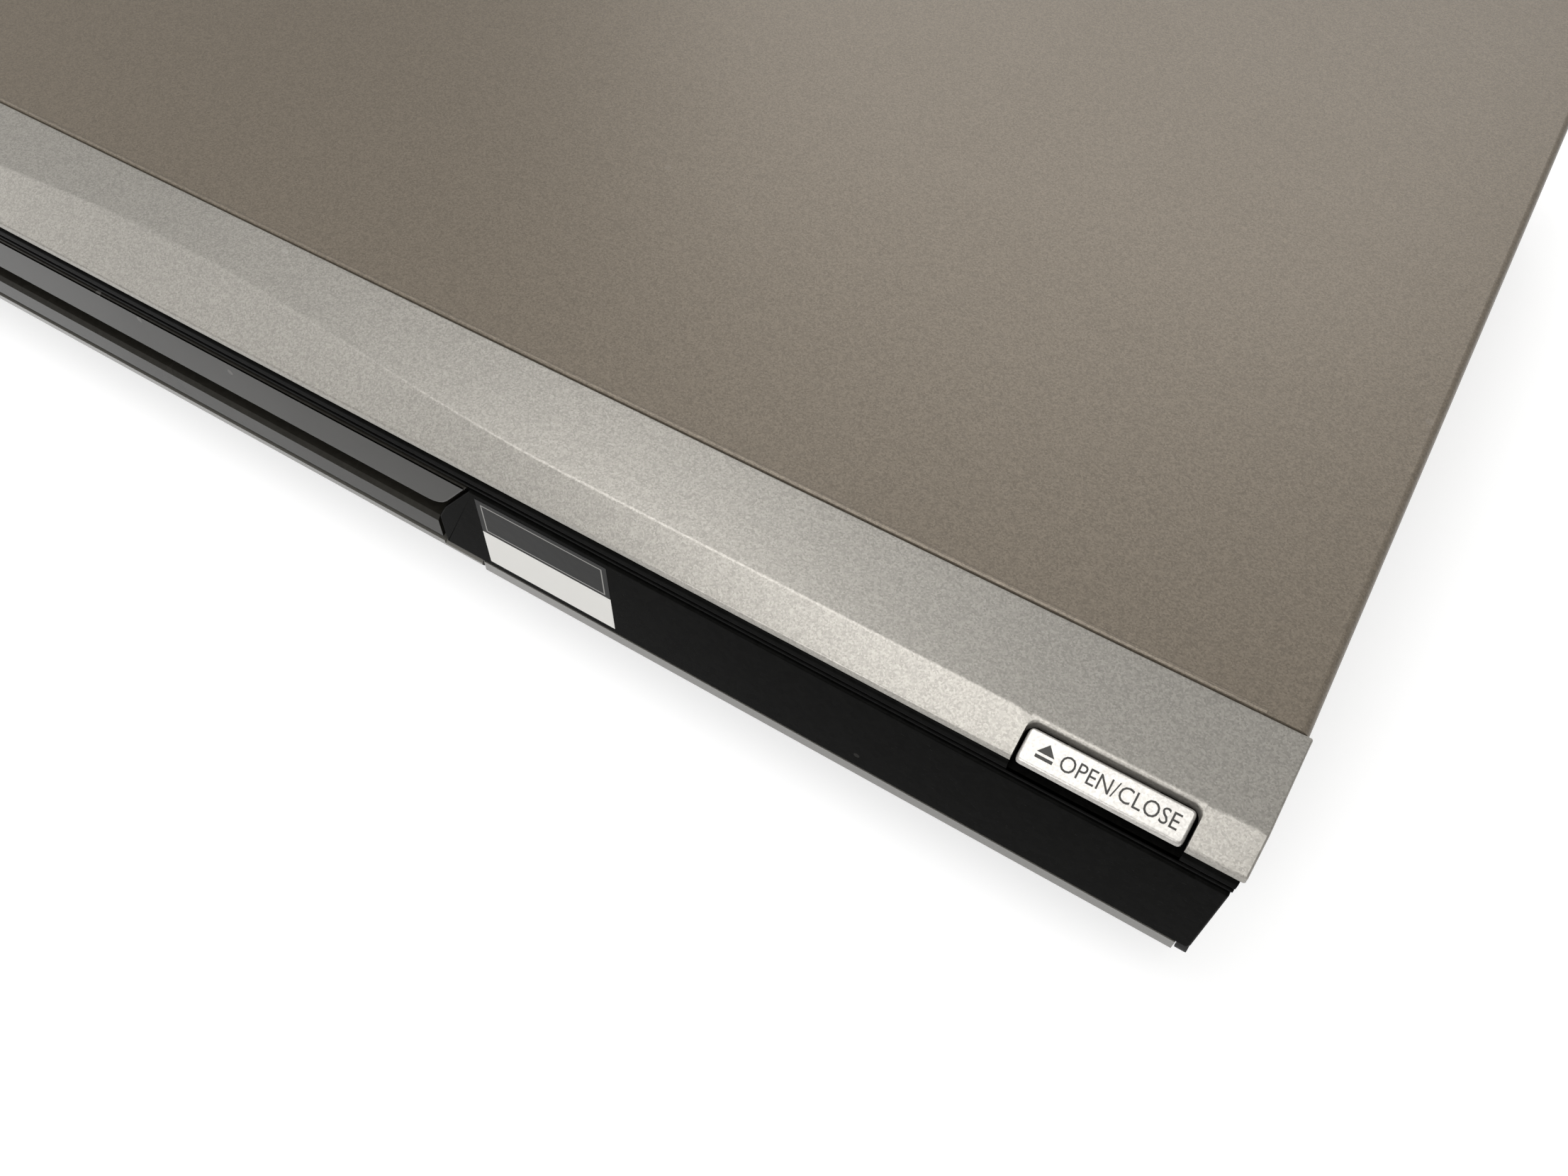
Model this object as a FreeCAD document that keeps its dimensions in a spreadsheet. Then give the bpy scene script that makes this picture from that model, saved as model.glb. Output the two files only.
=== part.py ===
import FreeCAD, Part
import math
import os
import re

import Sketcher
from FreeCAD import Placement, Rotation, Vector

# Slim disc player, in millimetres. X runs to the right as seen from the front, Y to the back, Z up.
# The origin is under the middle of the player, on the surface that it stands on.

os.makedirs("parts", exist_ok=True)
doc = FreeCAD.newDocument("disc_player")
sheet = doc.addObject("Spreadsheet::Sheet", "Sizes")

# Driving sizes. Each row is a name and a size in millimetres, a count or a slope.
SIZES = {
    # Whole player
    "width": 430,
    "height": 55,
    "depth": 249,
    "foot_height": 5,
    "foot_radius": 9,
    "foot_inset": 42,
    "gauge": 0.8,
    "sheet_fit": 0.2,
    "running_gap": 0.3,
    "cover_step": 0.5,
    "cover_bend": 1.5,
    "hem_radius": 0.5,
    "hem_setback": 6.5,
    "front_depth": 22,
    "rear_reach": 6.5,
    "flange_height": 14,
    "cover_lip": 8,
    # Silver fascia
    "fascia_wall": 1.8,
    "fascia_drop": 6,
    "fascia_sink": 0.2,
    "fascia_tongue": 4,
    "lip_height": 1.3,
    "lip_inset": 0.3,
    "crease_side": 15.8,
    "crease_middle": 10.3,
    "crease_spread": 100,
    "band_slope": 0.17,
    # Black front: every drop is measured down from the top of the cover
    "trim_ledge": 1.8,
    "trim_upright": 2.3,
    "trim_groove": 0.6,
    "flap_drop": 11.7,
    "door_drop": 21.2,
    "centre_drop": 25.7,
    "centre_foot_drop": 30.9,
    "flap_foot_drop": 32.1,
    "fixed_strip_drop": 34.6,
    "flap_strip_drop": 35.5,
    "chin_drop": 38.6,
    "panel_wall": 2.4,
    "strip_wall": 1.6,
    "door_half_top": 79.8,
    "door_half_foot": 72,
    "door_wall": 3,
    "centre_half": 70,
    "flap_seam": 0.6,
    "strip_start": 79.3,
    "strip_end_gap": 2.7,
    "frame_wall": 2,
    "control_recess": 8.9,
    "chin_slant": 10,
    "cheek_wall": 2,
    # Flap hinge
    "hinge_setback": 1.2,
    "hinge_sink": 1.3,
    "hinge_pin_radius": 0.6,
    "knuckle_radius": 1.1,
    "knuckle_width": 5,
    "clip_inset": 5,
    "label_inset": 2,
    "label_width": 27.4,
    "label_thick": 0.2,
    # Push buttons
    "button_width": 25.1,
    "button_depth": 4.8,
    "button_inset": 21.8,
    "button_gap": 0.6,
    "button_drop": 0.2,
    "button_arm": 14,
    "press_travel": 0.8,
    "round_button_radius": 4,
    "round_button_reach": 3.4,
    "round_button_pitch": 18,
    "switch_side": 6,
    "switch_body": 2.5,
    "switch_plunger_radius": 1.6,
    "switch_plunger": 0.8,
    # Front boards and sockets
    "board_thick": 1.6,
    "board_setback": 17.5,
    "front_board_inset": 10,
    "front_board_lead": 14,
    "display_inset": 85,
    "display_width": 72,
    "display_height": 13,
    "sensor_inset": 25,
    "usb_inset": 27,
    "usb_width": 13.2,
    "usb_height": 5.8,
    "card_slot_pitch": 34,
    "play_button_pitch": 32,
    "card_slot_width": 28,
    "card_slot_height": 3.6,
    # Drive
    "tray_half": 64.5,
    "tray_rise": 0.5,
    "tray_height": 8,
    "tray_skin": 1.8,
    "disc_radius": 60.75,
    "disc_sink": 4.5,
    "small_disc_radius": 41,
    "small_disc_sink": 1.3,
    "recess_wall": 1.5,
    "slot_half": 18,
    "tray_travel": 136,
    "rack_margin": 8,
    "spindle_setback": 72.5,
    "loader_wall": 2,
    "loader_setback": 16.5,
    "loader_tail": 26,
    "loader_gap": 14.7,
    "loader_foot": 13.5,
    "loader_deck_drop": 8.3,
    "loader_deck": 2,
    "window_half": 51,
    "window_lead": 18,
    "window_tail": 39.5,
    "rack_x": -51.75,
    "rack_drop": 3.3,
    "rack_back": 3.5,
    "gear_module": 1,
    "gear_slack": 0.2,
    "gear_play": 0.25,
    "pinion_teeth": 20,
    "wheel_teeth": 32,
    "idler_teeth": 12,
    "gear_setback": 36.5,
    "gear_bore": 2,
    "pulley_radius": 10,
    "pulley_groove": 1.2,
    "motor_pulley_radius": 4,
    "motor_x": 17,
    "belt_thick": 1.4,
    "tray_motor_radius": 10,
    "tray_motor_height": 11,
    "pivot_inset": 8,
    "turntable_radius": 16,
    "hub_radius": 7.4,
    "spindle_motor_radius": 12.5,
    "lens_radius": 4,
    "lens_start": 24,
    "sled_front": 10.5,
    "sled_rear": 18,
    "sled_inset": 25,
    "sled_travel": 35,
    "rod_radius": 1.5,
    "rod_inset": 30,
    "screw_radius": 1.6,
    "screw_inset": 19,
    "clamper_radius": 15,
    "clamper_neck": 11.5,
    "bridge_width": 34,
    # Boards, fan and rear sockets
    "boss_radius": 3,
    "screw_radius_rear": 1.2,
    "screw_radius_board": 1.2,
    "board_lift": 7,
    "board_inset": 9,
    "main_board_gap": 17.2,
    "main_board_setback": 40.5,
    "power_board_gap": 25.2,
    "power_board_setback": 102.5,
    "capacitor_inset": 28,
    "smoothing_inset": 22,
    "fan_lift": 1.2,
    "fan_thick": 10,
    "fan_x": -40,
    "fan_rim": 1.6,
    "fan_hub": 8,
    "fan_blades": 7,
    "jack_radius": 4.1,
    "jack_pitch": 14,
    "jack_inset": 47,
    "optical_pitch": 18,
    "lan_pitch": 20,
    "hdmi_pitch": 26,
    "inlet_inset": 29,
}

for row, (alias, value) in enumerate(SIZES.items(), start=1):
    sheet.set("A%d" % row, alias.replace("_", " "))
    sheet.set("B%d" % row, str(value))
    sheet.setAlias("B%d" % row, alias)
doc.recompute()

# Places that follow from the sizes, by name.
PLACES = {
    "front": "-depth/2",
    "rear": "depth/2 - rear_reach",
    "cover_edge": "front + front_depth",
    "cover_half": "width/2 - cover_step",
    "chassis_half": "cover_half - gauge - sheet_fit",
    "chassis_front": "cover_edge + running_gap",
    "floor": "foot_height + gauge",
    "ceiling": "height - gauge",
    "fascia_edge": "height - fascia_drop",
    "lip_foot": "fascia_edge - lip_height",
    "flap_top": "height - flap_drop",
    "trim_foot": "flap_top + running_gap",
    "trim_top": "lip_foot - running_gap/2",
    "ledge_top": "trim_foot + trim_ledge",
    "door_foot": "height - door_drop",
    "centre_top": "height - centre_drop",
    "centre_foot": "height - centre_foot_drop",
    "flap_foot": "height - flap_foot_drop",
    "fixed_strip_foot": "height - fixed_strip_drop",
    "flap_strip_foot": "height - flap_strip_drop",
    "chin_top": "height - chin_drop",
    "wall_front": "front + control_recess",
    "wall_back": "wall_front + frame_wall",
    "panel_back": "front + panel_wall",
    "panel_end": "width/2 - 2*running_gap",
    "lid_screw_x": "width/3",
    "lid_screw_z": "height - cover_lip/2",
    "button_offset": "width/2 - button_inset",
    "usb_x": "width/2 - usb_inset",
    "card_slot_x": "usb_x - card_slot_pitch",
    "play_button_x": "card_slot_x - play_button_pitch",
    "stop_button_x": "play_button_x - round_button_pitch",
    "front_board_start": "stop_button_x - front_board_lead",
    "front_board_end": "width/2 - front_board_inset",
    "display_centre": "display_inset - width/2",
    "sensor_x": "sensor_inset - width/2",
    "strip_end": "width/2 - strip_end_gap",
    "cheek_inner": "width/2 - cheek_wall - 2*running_gap",
    "hinge_y": "front + hinge_setback",
    "hinge_z": "flap_foot - hinge_sink",
    "fixed_strip_end": "strip_start - flap_seam",
    "fixed_strip_top": "flap_foot - 0.2",
    "label_start": "strip_start + label_inset",
    "label_foot": "flap_foot + 1.6",
    "label_top": "flap_top - 1.4",
    "gear_y": "front + gear_setback",
    "spindle_y": "front + spindle_setback",
    "loader_front": "front + loader_setback",
    "tail_stretch": "(fan_front - window_rear)/(loader_tail + loader_gap)",
    "loader_rear": "window_rear + loader_tail*tail_stretch",
    "window_front": "gear_y + window_lead",
    "window_rear": "sled_window_rear + window_tail",
    "traverse_pivot_y": "window_rear - pivot_inset",
    "sled_half": "window_half - sled_inset",
    "rod_half": "window_half - rod_inset",
    "screw_x": "screw_inset - window_half",
    "tray_foot": "door_foot + tray_rise",
    "tray_top": "tray_foot + tray_height",
    "tray_front": "front + door_wall",
    "tray_rear": "gear_y + tray_travel + rack_margin",
    "disc_floor": "tray_top - disc_sink",
    "small_disc_floor": "disc_floor - small_disc_sink",
    "rail_top": "tray_foot - running_gap",
    "loader_half": "tray_half + running_gap",
    "deck_top": "tray_foot - loader_deck_drop",
    "deck_foot": "deck_top - loader_deck",
    "loader_top": "tray_top + 2",
    "rack_foot": "tray_foot - rack_drop",
    "pinion_radius": "gear_module*pinion_teeth/2",
    "wheel_radius": "gear_module*wheel_teeth/2",
    "idler_radius": "gear_module*idler_teeth/2",
    "gear_x": "rack_x + pinion_radius + gear_slack",
    "idler_x": "gear_x + wheel_radius + idler_radius + gear_slack",
    "wheel_foot": "deck_top + 1",
    "wheel_top": "rack_foot - running_gap",
    "pinion_top": "tray_foot - 2*running_gap",
    "traverse_foot": "deck_foot - 3.6",
    "plate_foot": "deck_foot + 1",
    "plate_top": "plate_foot + 1.6",
    "rod_z": "plate_foot - 3",
    "sled_top": "tray_foot - 2",
    "sled_foot": "rod_z - 4",
    "lens_y": "spindle_y + lens_start",
    "turntable_foot": "tray_foot + 0.1",
    "turntable_top": "turntable_foot + 4.2",
    "bridge_foot": "tray_top + 3.1",
    "bridge_top": "bridge_foot + 2",
    "board_foot": "floor + board_lift",
    "board_top": "board_foot + board_thick",
    "front_board_front": "front + board_setback",
    "front_board_back": "front_board_front + board_thick",
    "key_shelf_top": "ledge_top - 4.1",
    "key_board_top": "key_shelf_top + board_thick",
    "arm_foot": "key_board_top + switch_body + switch_plunger + press_travel + 0.1",
    "socket_z": "(flap_top + flap_foot)/2 - 3",
    "plunger_tip": "front_board_front - switch_body - switch_plunger",
    "panel_outer": "rear - sheet_fit",
    "panel_inner": "panel_outer - gauge",
    "board_rear": "panel_inner - 1",
    "main_board_start": "loader_half + loader_wall + main_board_gap",
    "main_board_end": "width/2 - board_inset",
    "main_board_front": "cover_edge + main_board_setback",
    "power_board_start": "board_inset - width/2",
    "power_board_end": "-(loader_half + loader_wall + power_board_gap)",
    "power_board_front": "cover_edge + power_board_setback",
    "smoothing_x": "power_board_end - smoothing_inset",
    "reservoir_x": "power_board_start + capacitor_inset",
    "transformer_x": "reservoir_x + 23 + 9*(smoothing_x - reservoir_x - 42)/22",
    "jack_x": "width/2 - jack_inset",
    "optical_x": "jack_x - optical_pitch",
    "lan_x": "optical_x - lan_pitch",
    "hdmi_x": "lan_x - hdmi_pitch",
    "inlet_x": "inlet_inset - width/2",
    "fan_foot": "floor + fan_lift",
    "fan_side": "height - cover_lip - fan_foot",
    "fan_z": "fan_foot + fan_side/2",
    "fan_radius": "fan_side/2 - fan_rim",
    "jack_low_z": "board_top + 6",
    "pivot_z": "traverse_foot + 1.6",
    "sled_window_front": "lens_y - sled_front - 0.8",
    "sled_window_rear": "lens_y + sled_rear + sled_travel + 1.5",
    "ribbon_start": "50",
    "ribbon_end": "main_board_start + 8",
    "drive_ribbon_y": "(window_rear + loader_rear)/2",
    "front_ribbon_x": "main_board_start + 40",
    "chip_x": "main_board_start + 56",
    "chip_y": "main_board_front + 80",
    "fan_back": "panel_inner - running_gap",
    "fan_front": "fan_back - fan_thick",
}


def linked(text):
    """Write a formula for the sheet: names of sizes get the sheet's name, names of places their formula."""
    def swap(match):
        word = match.group(0)
        if word in PLACES:
            return "(" + linked(PLACES[word]) + ")"
        if word in SIZES:
            return "Sizes." + word
        return word
    return re.sub(r"[A-Za-z_][A-Za-z_0-9]*", swap, str(text))


def number(text):
    """Value of a formula, worked out from the sheet."""
    result = sheet.evalExpression(linked(text))
    return float(getattr(result, "Value", result))


def bind(item, prop, text):
    item.setExpression(prop, linked(text))


def span(low, high):
    return "(%s) - (%s)" % (high, low)


# Primitives whose sizes and places are bound to the sheet

def block(name, x, y, z):
    """Box between two formulas along each axis."""
    item = doc.addObject("Part::Box", name)
    for prop, (low, high) in zip(("Length", "Width", "Height"), (x, y, z)):
        bind(item, prop, span(low, high))
    for axis, (low, high) in zip("xyz", (x, y, z)):
        bind(item, "Placement.Base." + axis, low)
    return item


AXIS_TURN = {
    "x": Rotation(Vector(0, 1, 0), 90),
    "y": Rotation(Vector(1, 0, 0), -90),
    "z": Rotation(),
}


def rod(name, axis, along, centre, radius, end_radius=None):
    """Cylinder, or cone if it has an end radius, along one axis; the centre is given on the other two."""
    item = doc.addObject("Part::Cone" if end_radius else "Part::Cylinder", name)
    item.Placement = Placement(Vector(), AXIS_TURN[axis])
    if end_radius:
        bind(item, "Radius1", radius)
        bind(item, "Radius2", end_radius)
    else:
        bind(item, "Radius", radius)
    bind(item, "Height", span(*along))
    others = [letter for letter in "xyz" if letter != axis]
    bind(item, "Placement.Base." + axis, along[0])
    for letter, place in zip(others, centre):
        bind(item, "Placement.Base." + letter, place)
    return item


def prism(name, axis, along, centre, radius, sides=10):
    """Many-sided bar along one axis, for small round things that repeat."""
    item = doc.addObject("Part::Prism", name)
    item.Polygon = sides
    item.Placement = Placement(Vector(), AXIS_TURN[axis])
    bind(item, "Circumradius", radius)
    bind(item, "Height", span(*along))
    others = [letter for letter in "xyz" if letter != axis]
    bind(item, "Placement.Base." + axis, along[0])
    for letter, place in zip(others, centre):
        bind(item, "Placement.Base." + letter, place)
    return item


def fuse(name, items):
    item = doc.addObject("Part::MultiFuse", name)
    item.Shapes = items
    item.Refine = True
    return item


def cut(name, base, tools):
    """Base less one or more tools."""
    item = doc.addObject("Part::Cut", name)
    item.Base = base
    item.Tool = tools[0] if len(tools) == 1 else fuse(name + "_tools", tools)
    item.Refine = True
    return item


def group(name, items):
    """Separate solids that share one node."""
    item = doc.addObject("Part::Compound", name)
    item.Links = items
    return item


def shaped(name, shape):
    """Sub-part whose shape comes from its own formula."""
    item = doc.addObject("Part::Feature", name)
    item.Shape = shape
    item.Placement = Placement()
    return item


# Bodies made from sketches

PLANE_ROLE = {"x": "YZ_Plane", "y": "XZ_Plane", "z": "XY_Plane"}


def new_body(name):
    return doc.addObject("PartDesign::Body", name)


def origin_plane(body, axis):
    return [item for item in body.Origin.OriginFeatures if item.Role == PLANE_ROLE[axis]][0]


def add_sketch(body, name, axis, start, outlines):
    """Sketch across an axis at a start; an outline is a list of corners, or a centre and a radius."""
    sketch = body.newObject("Sketcher::SketchObject", name)
    sketch.AttachmentSupport = [(origin_plane(body, axis), "")]
    sketch.MapMode = "FlatFace"
    side = "-1*" if axis == "y" else ""
    bind(sketch, "AttachmentOffset.Base.z", "%s(%s)" % (side, start))
    curves, joins, sizes = [], [], []
    for outline in outlines:
        draw = circle_parts if isinstance(outline, tuple) else polygon_parts
        for found, kept in zip(draw(outline, len(curves)), (curves, joins, sizes)):
            kept.extend(found)
    sketch.addGeometry(curves)
    held = [Sketcher.Constraint(kind, *where, number(text)) for kind, where, text in sizes]
    for index, constraint in enumerate(held):
        constraint.Name = "size_%d" % index
    sketch.addConstraint(joins + held)
    for index, (kind, where, text) in enumerate(sizes):
        bind(sketch, "Constraints.size_%d" % index, text)
    return sketch


def circle_parts(outline, index):
    """Curve of a circle, no joins, and the sizes that hold its centre and radius."""
    u, v, radius = outline
    curve = Part.Circle(Vector(number(u), number(v), 0), Vector(0, 0, 1), number(radius))
    return [curve], [], point_sizes(index, 3, u, v) + [("Radius", (index,), radius)]


def polygon_parts(outline, first):
    """Sides of a polygon, their joins, and the sizes that hold each corner."""
    corners = [Vector(number(u), number(v), 0) for u, v in outline]
    count = len(corners)
    curves, joins, sizes = [], [], []
    for index, (u, v) in enumerate(outline):
        following = (index + 1) % count
        curves.append(Part.LineSegment(corners[index], corners[following]))
        joins.append(Sketcher.Constraint("Coincident", first + index, 2, first + following, 1))
        sizes += point_sizes(first + index, 1, u, v)
    return curves, joins, sizes


def point_sizes(index, point, u, v):
    """Distances that hold a point of a curve along both directions of its sketch."""
    return [("DistanceX", (index, point), u), ("DistanceY", (index, point), v)]


def pad(body, name, axis, along, outlines):
    """Add outlines extruded along an axis, from a low to a high place."""
    feature = body.newObject("PartDesign::Pad", name)
    feature.Profile = add_sketch(body, name + "_sketch", axis, along[0], outlines)
    bind(feature, "Length", span(*along))
    feature.Reversed = axis == "y"
    body.Tip = feature
    return feature


def pocket(body, name, axis, along, outlines):
    """Cut outlines along an axis, from a low to a high place, and check that something was cut."""
    doc.recompute()
    before = body.Shape.Volume
    feature = body.newObject("PartDesign::Pocket", name)
    feature.Profile = add_sketch(body, name + "_sketch", axis, along[0], outlines)
    bind(feature, "Length", span(*along))
    feature.Reversed = axis != "y"
    body.Tip = feature
    doc.recompute()
    if not body.Shape.Volume < before:
        raise RuntimeError(name + " cuts nothing")
    return feature


def fillet(body, name, radius, chosen):
    """Round the edges of the body's tip that the test picks out."""
    doc.recompute()
    tip = body.Tip
    names = ["Edge%d" % (i + 1) for i, edge in enumerate(tip.Shape.Edges) if chosen(edge)]
    feature = body.newObject("PartDesign::Fillet", name)
    feature.Base = (tip, names)
    bind(feature, "Radius", radius)
    body.Tip = feature
    return feature


def rectangle(u, v):
    """Corners of a rectangle between two formulas along each direction of a sketch."""
    return [(u[0], v[0]), (u[1], v[0]), (u[1], v[1]), (u[0], v[1])]


def ngon(u, v, radius, sides=8):
    """Corners of an even-sided outline round a centre, for small round things that repeat."""
    turns = [2*math.pi*index/sides for index in range(sides)]
    return [("%s + (%s)*%.6f" % (u, radius, math.cos(turn)), "%s + (%s)*%.6f" % (v, radius, math.sin(turn)))
            for turn in turns]


def runs_along(edge, axis):
    """True for a straight edge parallel to an axis."""
    if edge.Curve.TypeId != "Part::GeomLine":
        return False
    return abs(abs(edge.Curve.Direction.dot(axis)) - 1) < 1e-6


ALONG_X = Vector(1, 0, 0)
ALONG_Y = Vector(0, 1, 0)
ALONG_Z = Vector(0, 0, 1)

nodes = {}


def node(name, item):
    """Register a finished sub-part under the name of its file."""
    item.Label = name
    nodes[name] = item
    return item


# Casing of sheet metal

def bottom_chassis():
    """Floor with bent flanges on three sides, raised rim round the vents, and bosses for the boards."""
    body = new_body("bottom_chassis_sheet")
    low, high = "foot_height", "foot_height + flange_height"
    outline = [
        ("-chassis_half", high), ("-chassis_half", low), ("chassis_half", low), ("chassis_half", high),
        ("chassis_half - gauge", high), ("chassis_half - gauge", "floor"),
        ("-chassis_half + gauge", "floor"), ("-chassis_half + gauge", high),
    ]
    pad(body, "floor_and_sides", "y", ("chassis_front", "panel_inner"), [outline])
    fillet(body, "outer_bends", "2*gauge", lambda edge: runs_along(edge, ALONG_Y)
           and abs(edge.BoundBox.ZMin - number(low)) < 1e-6)
    pad(body, "front_flange", "y", ("chassis_front", "chassis_front + gauge"),
        [rectangle(("-chassis_half + gauge", "chassis_half - gauge"),
                   ("floor - gauge/2", "floor + flange_height/2"))])
    slots = [vent_slot(column, row) for column in range(-3, 4) for row in range(2)]
    pocket(body, "vent_slots", "z", ("foot_height - gauge", "floor + gauge"), slots)
    for index, (x, y) in enumerate(board_posts()):
        pad(body, "board_boss_%d" % index, "z", ("floor - gauge/2", "board_foot"),
            [ngon(x, y, "boss_radius"), ngon(x, y, "screw_radius_board", 6)])
    return node("bottom_chassis", body)


def vent_slot(column, row):
    """Slot in the floor under the power board, one of a grid."""
    middle = "power_board_start + 62 + %d*9" % column
    start = "power_board_front + 30 + %d*36" % row
    return rectangle((middle + " - 1.5", middle + " + 1.5"), (start, start + " + 26"))


def board_posts():
    """Places of the bosses that carry the main board and the power board."""
    inset = 6
    posts = []
    for start, end, front in (("main_board_start", "main_board_end", "main_board_front"),
                              ("power_board_start", "power_board_end", "power_board_front")):
        for x in ("%s + %d" % (start, inset), "%s - %d" % (end, inset)):
            for y in ("%s + %d" % (front, inset), "board_rear - %d" % (inset + 12)):
                posts.append((x, y))
    return posts


def top_cover():
    """Bent lid: a roof, two sides, a short lip over the rear panel and a rolled hem along the front."""
    body = new_body("top_cover_sheet")
    low = "foot_height + 2*gauge"
    outline = [
        ("-cover_half", low), ("-cover_half", "height"), ("cover_half", "height"), ("cover_half", low),
        ("cover_half - gauge", low), ("cover_half - gauge", "ceiling"),
        ("-cover_half + gauge", "ceiling"), ("-cover_half + gauge", low),
    ]
    pad(body, "roof_and_sides", "y", ("cover_edge", "rear"), [outline])
    fillet(body, "roof_bends", "cover_bend", lambda edge: runs_along(edge, ALONG_Y)
           and abs(edge.BoundBox.ZMin - number("height")) < 1e-6)
    pad(body, "rear_lip", "y", ("rear - sheet_fit/2", "rear + gauge"),
        [rectangle(("-cover_half + cover_bend", "cover_half - cover_bend"),
                   ("height - cover_lip", "height - gauge/2"))])
    hem = ("cover_edge + hem_radius", "height - hem_radius/2", "hem_radius")
    pad(body, "front_hem", "x", ("-cover_half + hem_setback", "cover_half - hem_setback"), [hem])
    holes = [ngon(x, z, "screw_radius_rear + 0.2", 6) for x, z in lid_screw_places()]
    pocket(body, "rear_screw_holes", "y", ("rear - gauge", "rear + 2*gauge"), holes)
    return node("top_cover", body)


def rear_panel():
    """Plate with the cut-outs for the sockets and a grille for the fan."""
    body = new_body("rear_panel_sheet")
    edge = "chassis_half - gauge - running_gap"
    pad(body, "plate", "y", ("panel_inner", "panel_outer"),
        [rectangle(("-(%s)" % edge, edge), ("floor + 0.1", "ceiling - 0.1"))])
    cuts = [
        rectangle(("hdmi_x - 7.8", "hdmi_x + 7.8"), ("board_top - 0.2", "board_top + 6")),
        rectangle(("lan_x - 8.3", "lan_x + 8.3"), ("board_top - 0.2", "board_top + 13.8")),
        rectangle(("optical_x - 5.3", "optical_x + 5.3"), ("board_top - 0.2", "board_top + 10.4")),
        rectangle(("inlet_x - 11.3", "inlet_x + 11.3"), ("board_top - 0.2", "board_top + 15")),
    ]
    cuts += [(x, z, "jack_radius + running_gap") for x, z in jack_places()]
    for index in range(7):
        middle = "fan_z + %d*fan_side/9" % (index - 3)
        half = "fan_radius*sqrt(1 - (%d*fan_side/9/fan_radius)^2)" % (index - 3)
        cuts.append(rectangle(("fan_x - " + half, "fan_x + " + half),
                              (middle + " - 1.3", middle + " + 1.3")))
    pocket(body, "socket_holes", "y", ("panel_inner - 1", "panel_outer + 1"), cuts)
    holes = [ngon(x, z, "screw_radius_rear + 0.1", 6) for x, z in lid_screw_places() + fan_screw_places()]
    pocket(body, "screw_holes", "y", ("panel_inner - 1", "panel_outer + 1"), holes)
    return node("rear_panel", body)


def jack_places():
    """Centres of the phono jacks: three columns and two rows."""
    return [("jack_x + %d*jack_pitch" % column, "jack_low_z + %d*jack_pitch" % row)
            for column in range(3) for row in range(2)]


def feet():
    """Four moulded feet with a slight taper, under the corners of the chassis."""
    items = []
    for side in ("-1", "1"):
        for end in ("chassis_front + 24", "panel_inner - 24"):
            place = ("%s*(width/2 - foot_inset)" % side, end)
            items.append(rod("foot_%d" % len(items), "z", ("0", "foot_height"), place,
                             "foot_radius - 1", "foot_radius"))
    return node("feet", group("feet_group", items))


def lid_screw_places():
    """Three screws in a row through the rear lip of the cover."""
    return [(x, "lid_screw_z") for x in ("-lid_screw_x", "0", "lid_screw_x")]


def rear_screws():
    """Pan-head screws in the rear: three through the lip of the cover and four into the fan."""
    items = []
    places = [(x, z, "rear + gauge") for x, z in lid_screw_places()]
    places += [(x, z, "panel_outer") for x, z in fan_screw_places()]
    for x, z, seat in places:
        count = len(items)
        head = prism("rear_head_%d" % count, "y", (seat, seat + " + 1.8"), (x, z), "2.9")
        shank = prism("rear_shank_%d" % count, "y", ("panel_inner - 5", seat + " + 0.5"), (x, z),
                      "screw_radius_rear", 6)
        items.append(fuse("rear_screw_%d" % count, [head, shank]))
    return node("rear_screws", group("rear_screws_group", items))


def fan_screw_places():
    reach = "0.4*fan_side"
    return [("fan_x + %s*%s" % (side, reach), "fan_z + %s*%s" % (end, reach))
            for side in ("-1", "1") for end in ("-1", "1")]


# Front: silver fascia

def crease_depth(x):
    """Distance of the crease from the cover: flat at the ends, half a cosine wave to the middle."""
    spread = number("crease_spread")
    side, middle = number("crease_side"), number("crease_middle")
    share = min(abs(x)/spread, 1)
    return middle + (side - middle)*(1 - math.cos(math.pi*share))/2


def fascia_section(x, closed_end=False):
    """Corners of the fascia's section at x, as points in YZ, from the cover round to the front and back."""
    rear_y = number("cover_edge - running_gap")
    rear_z = number("height - fascia_sink")
    crease_y = number("cover_edge") - crease_depth(x)
    crease_z = rear_z - number("band_slope")*(rear_y - crease_y)
    front_y = number("front + lip_inset")
    front_z, foot, wall = number("fascia_edge"), number("lip_foot"), number("fascia_wall")
    outer = [(rear_y, rear_z), (crease_y, crease_z), (front_y, front_z), (front_y, foot)]
    if closed_end:
        return outer + [(rear_y, foot)]
    return outer + [(front_y + wall, foot), (front_y + wall, front_z - wall/2),
                    (crease_y, crease_z - wall), (rear_y, rear_z - wall)]


def section_wire(x, closed_end=False):
    points = [Vector(x, y, z) for y, z in fascia_section(x, closed_end)]
    return Part.makePolygon(points + points[:1])


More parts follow.
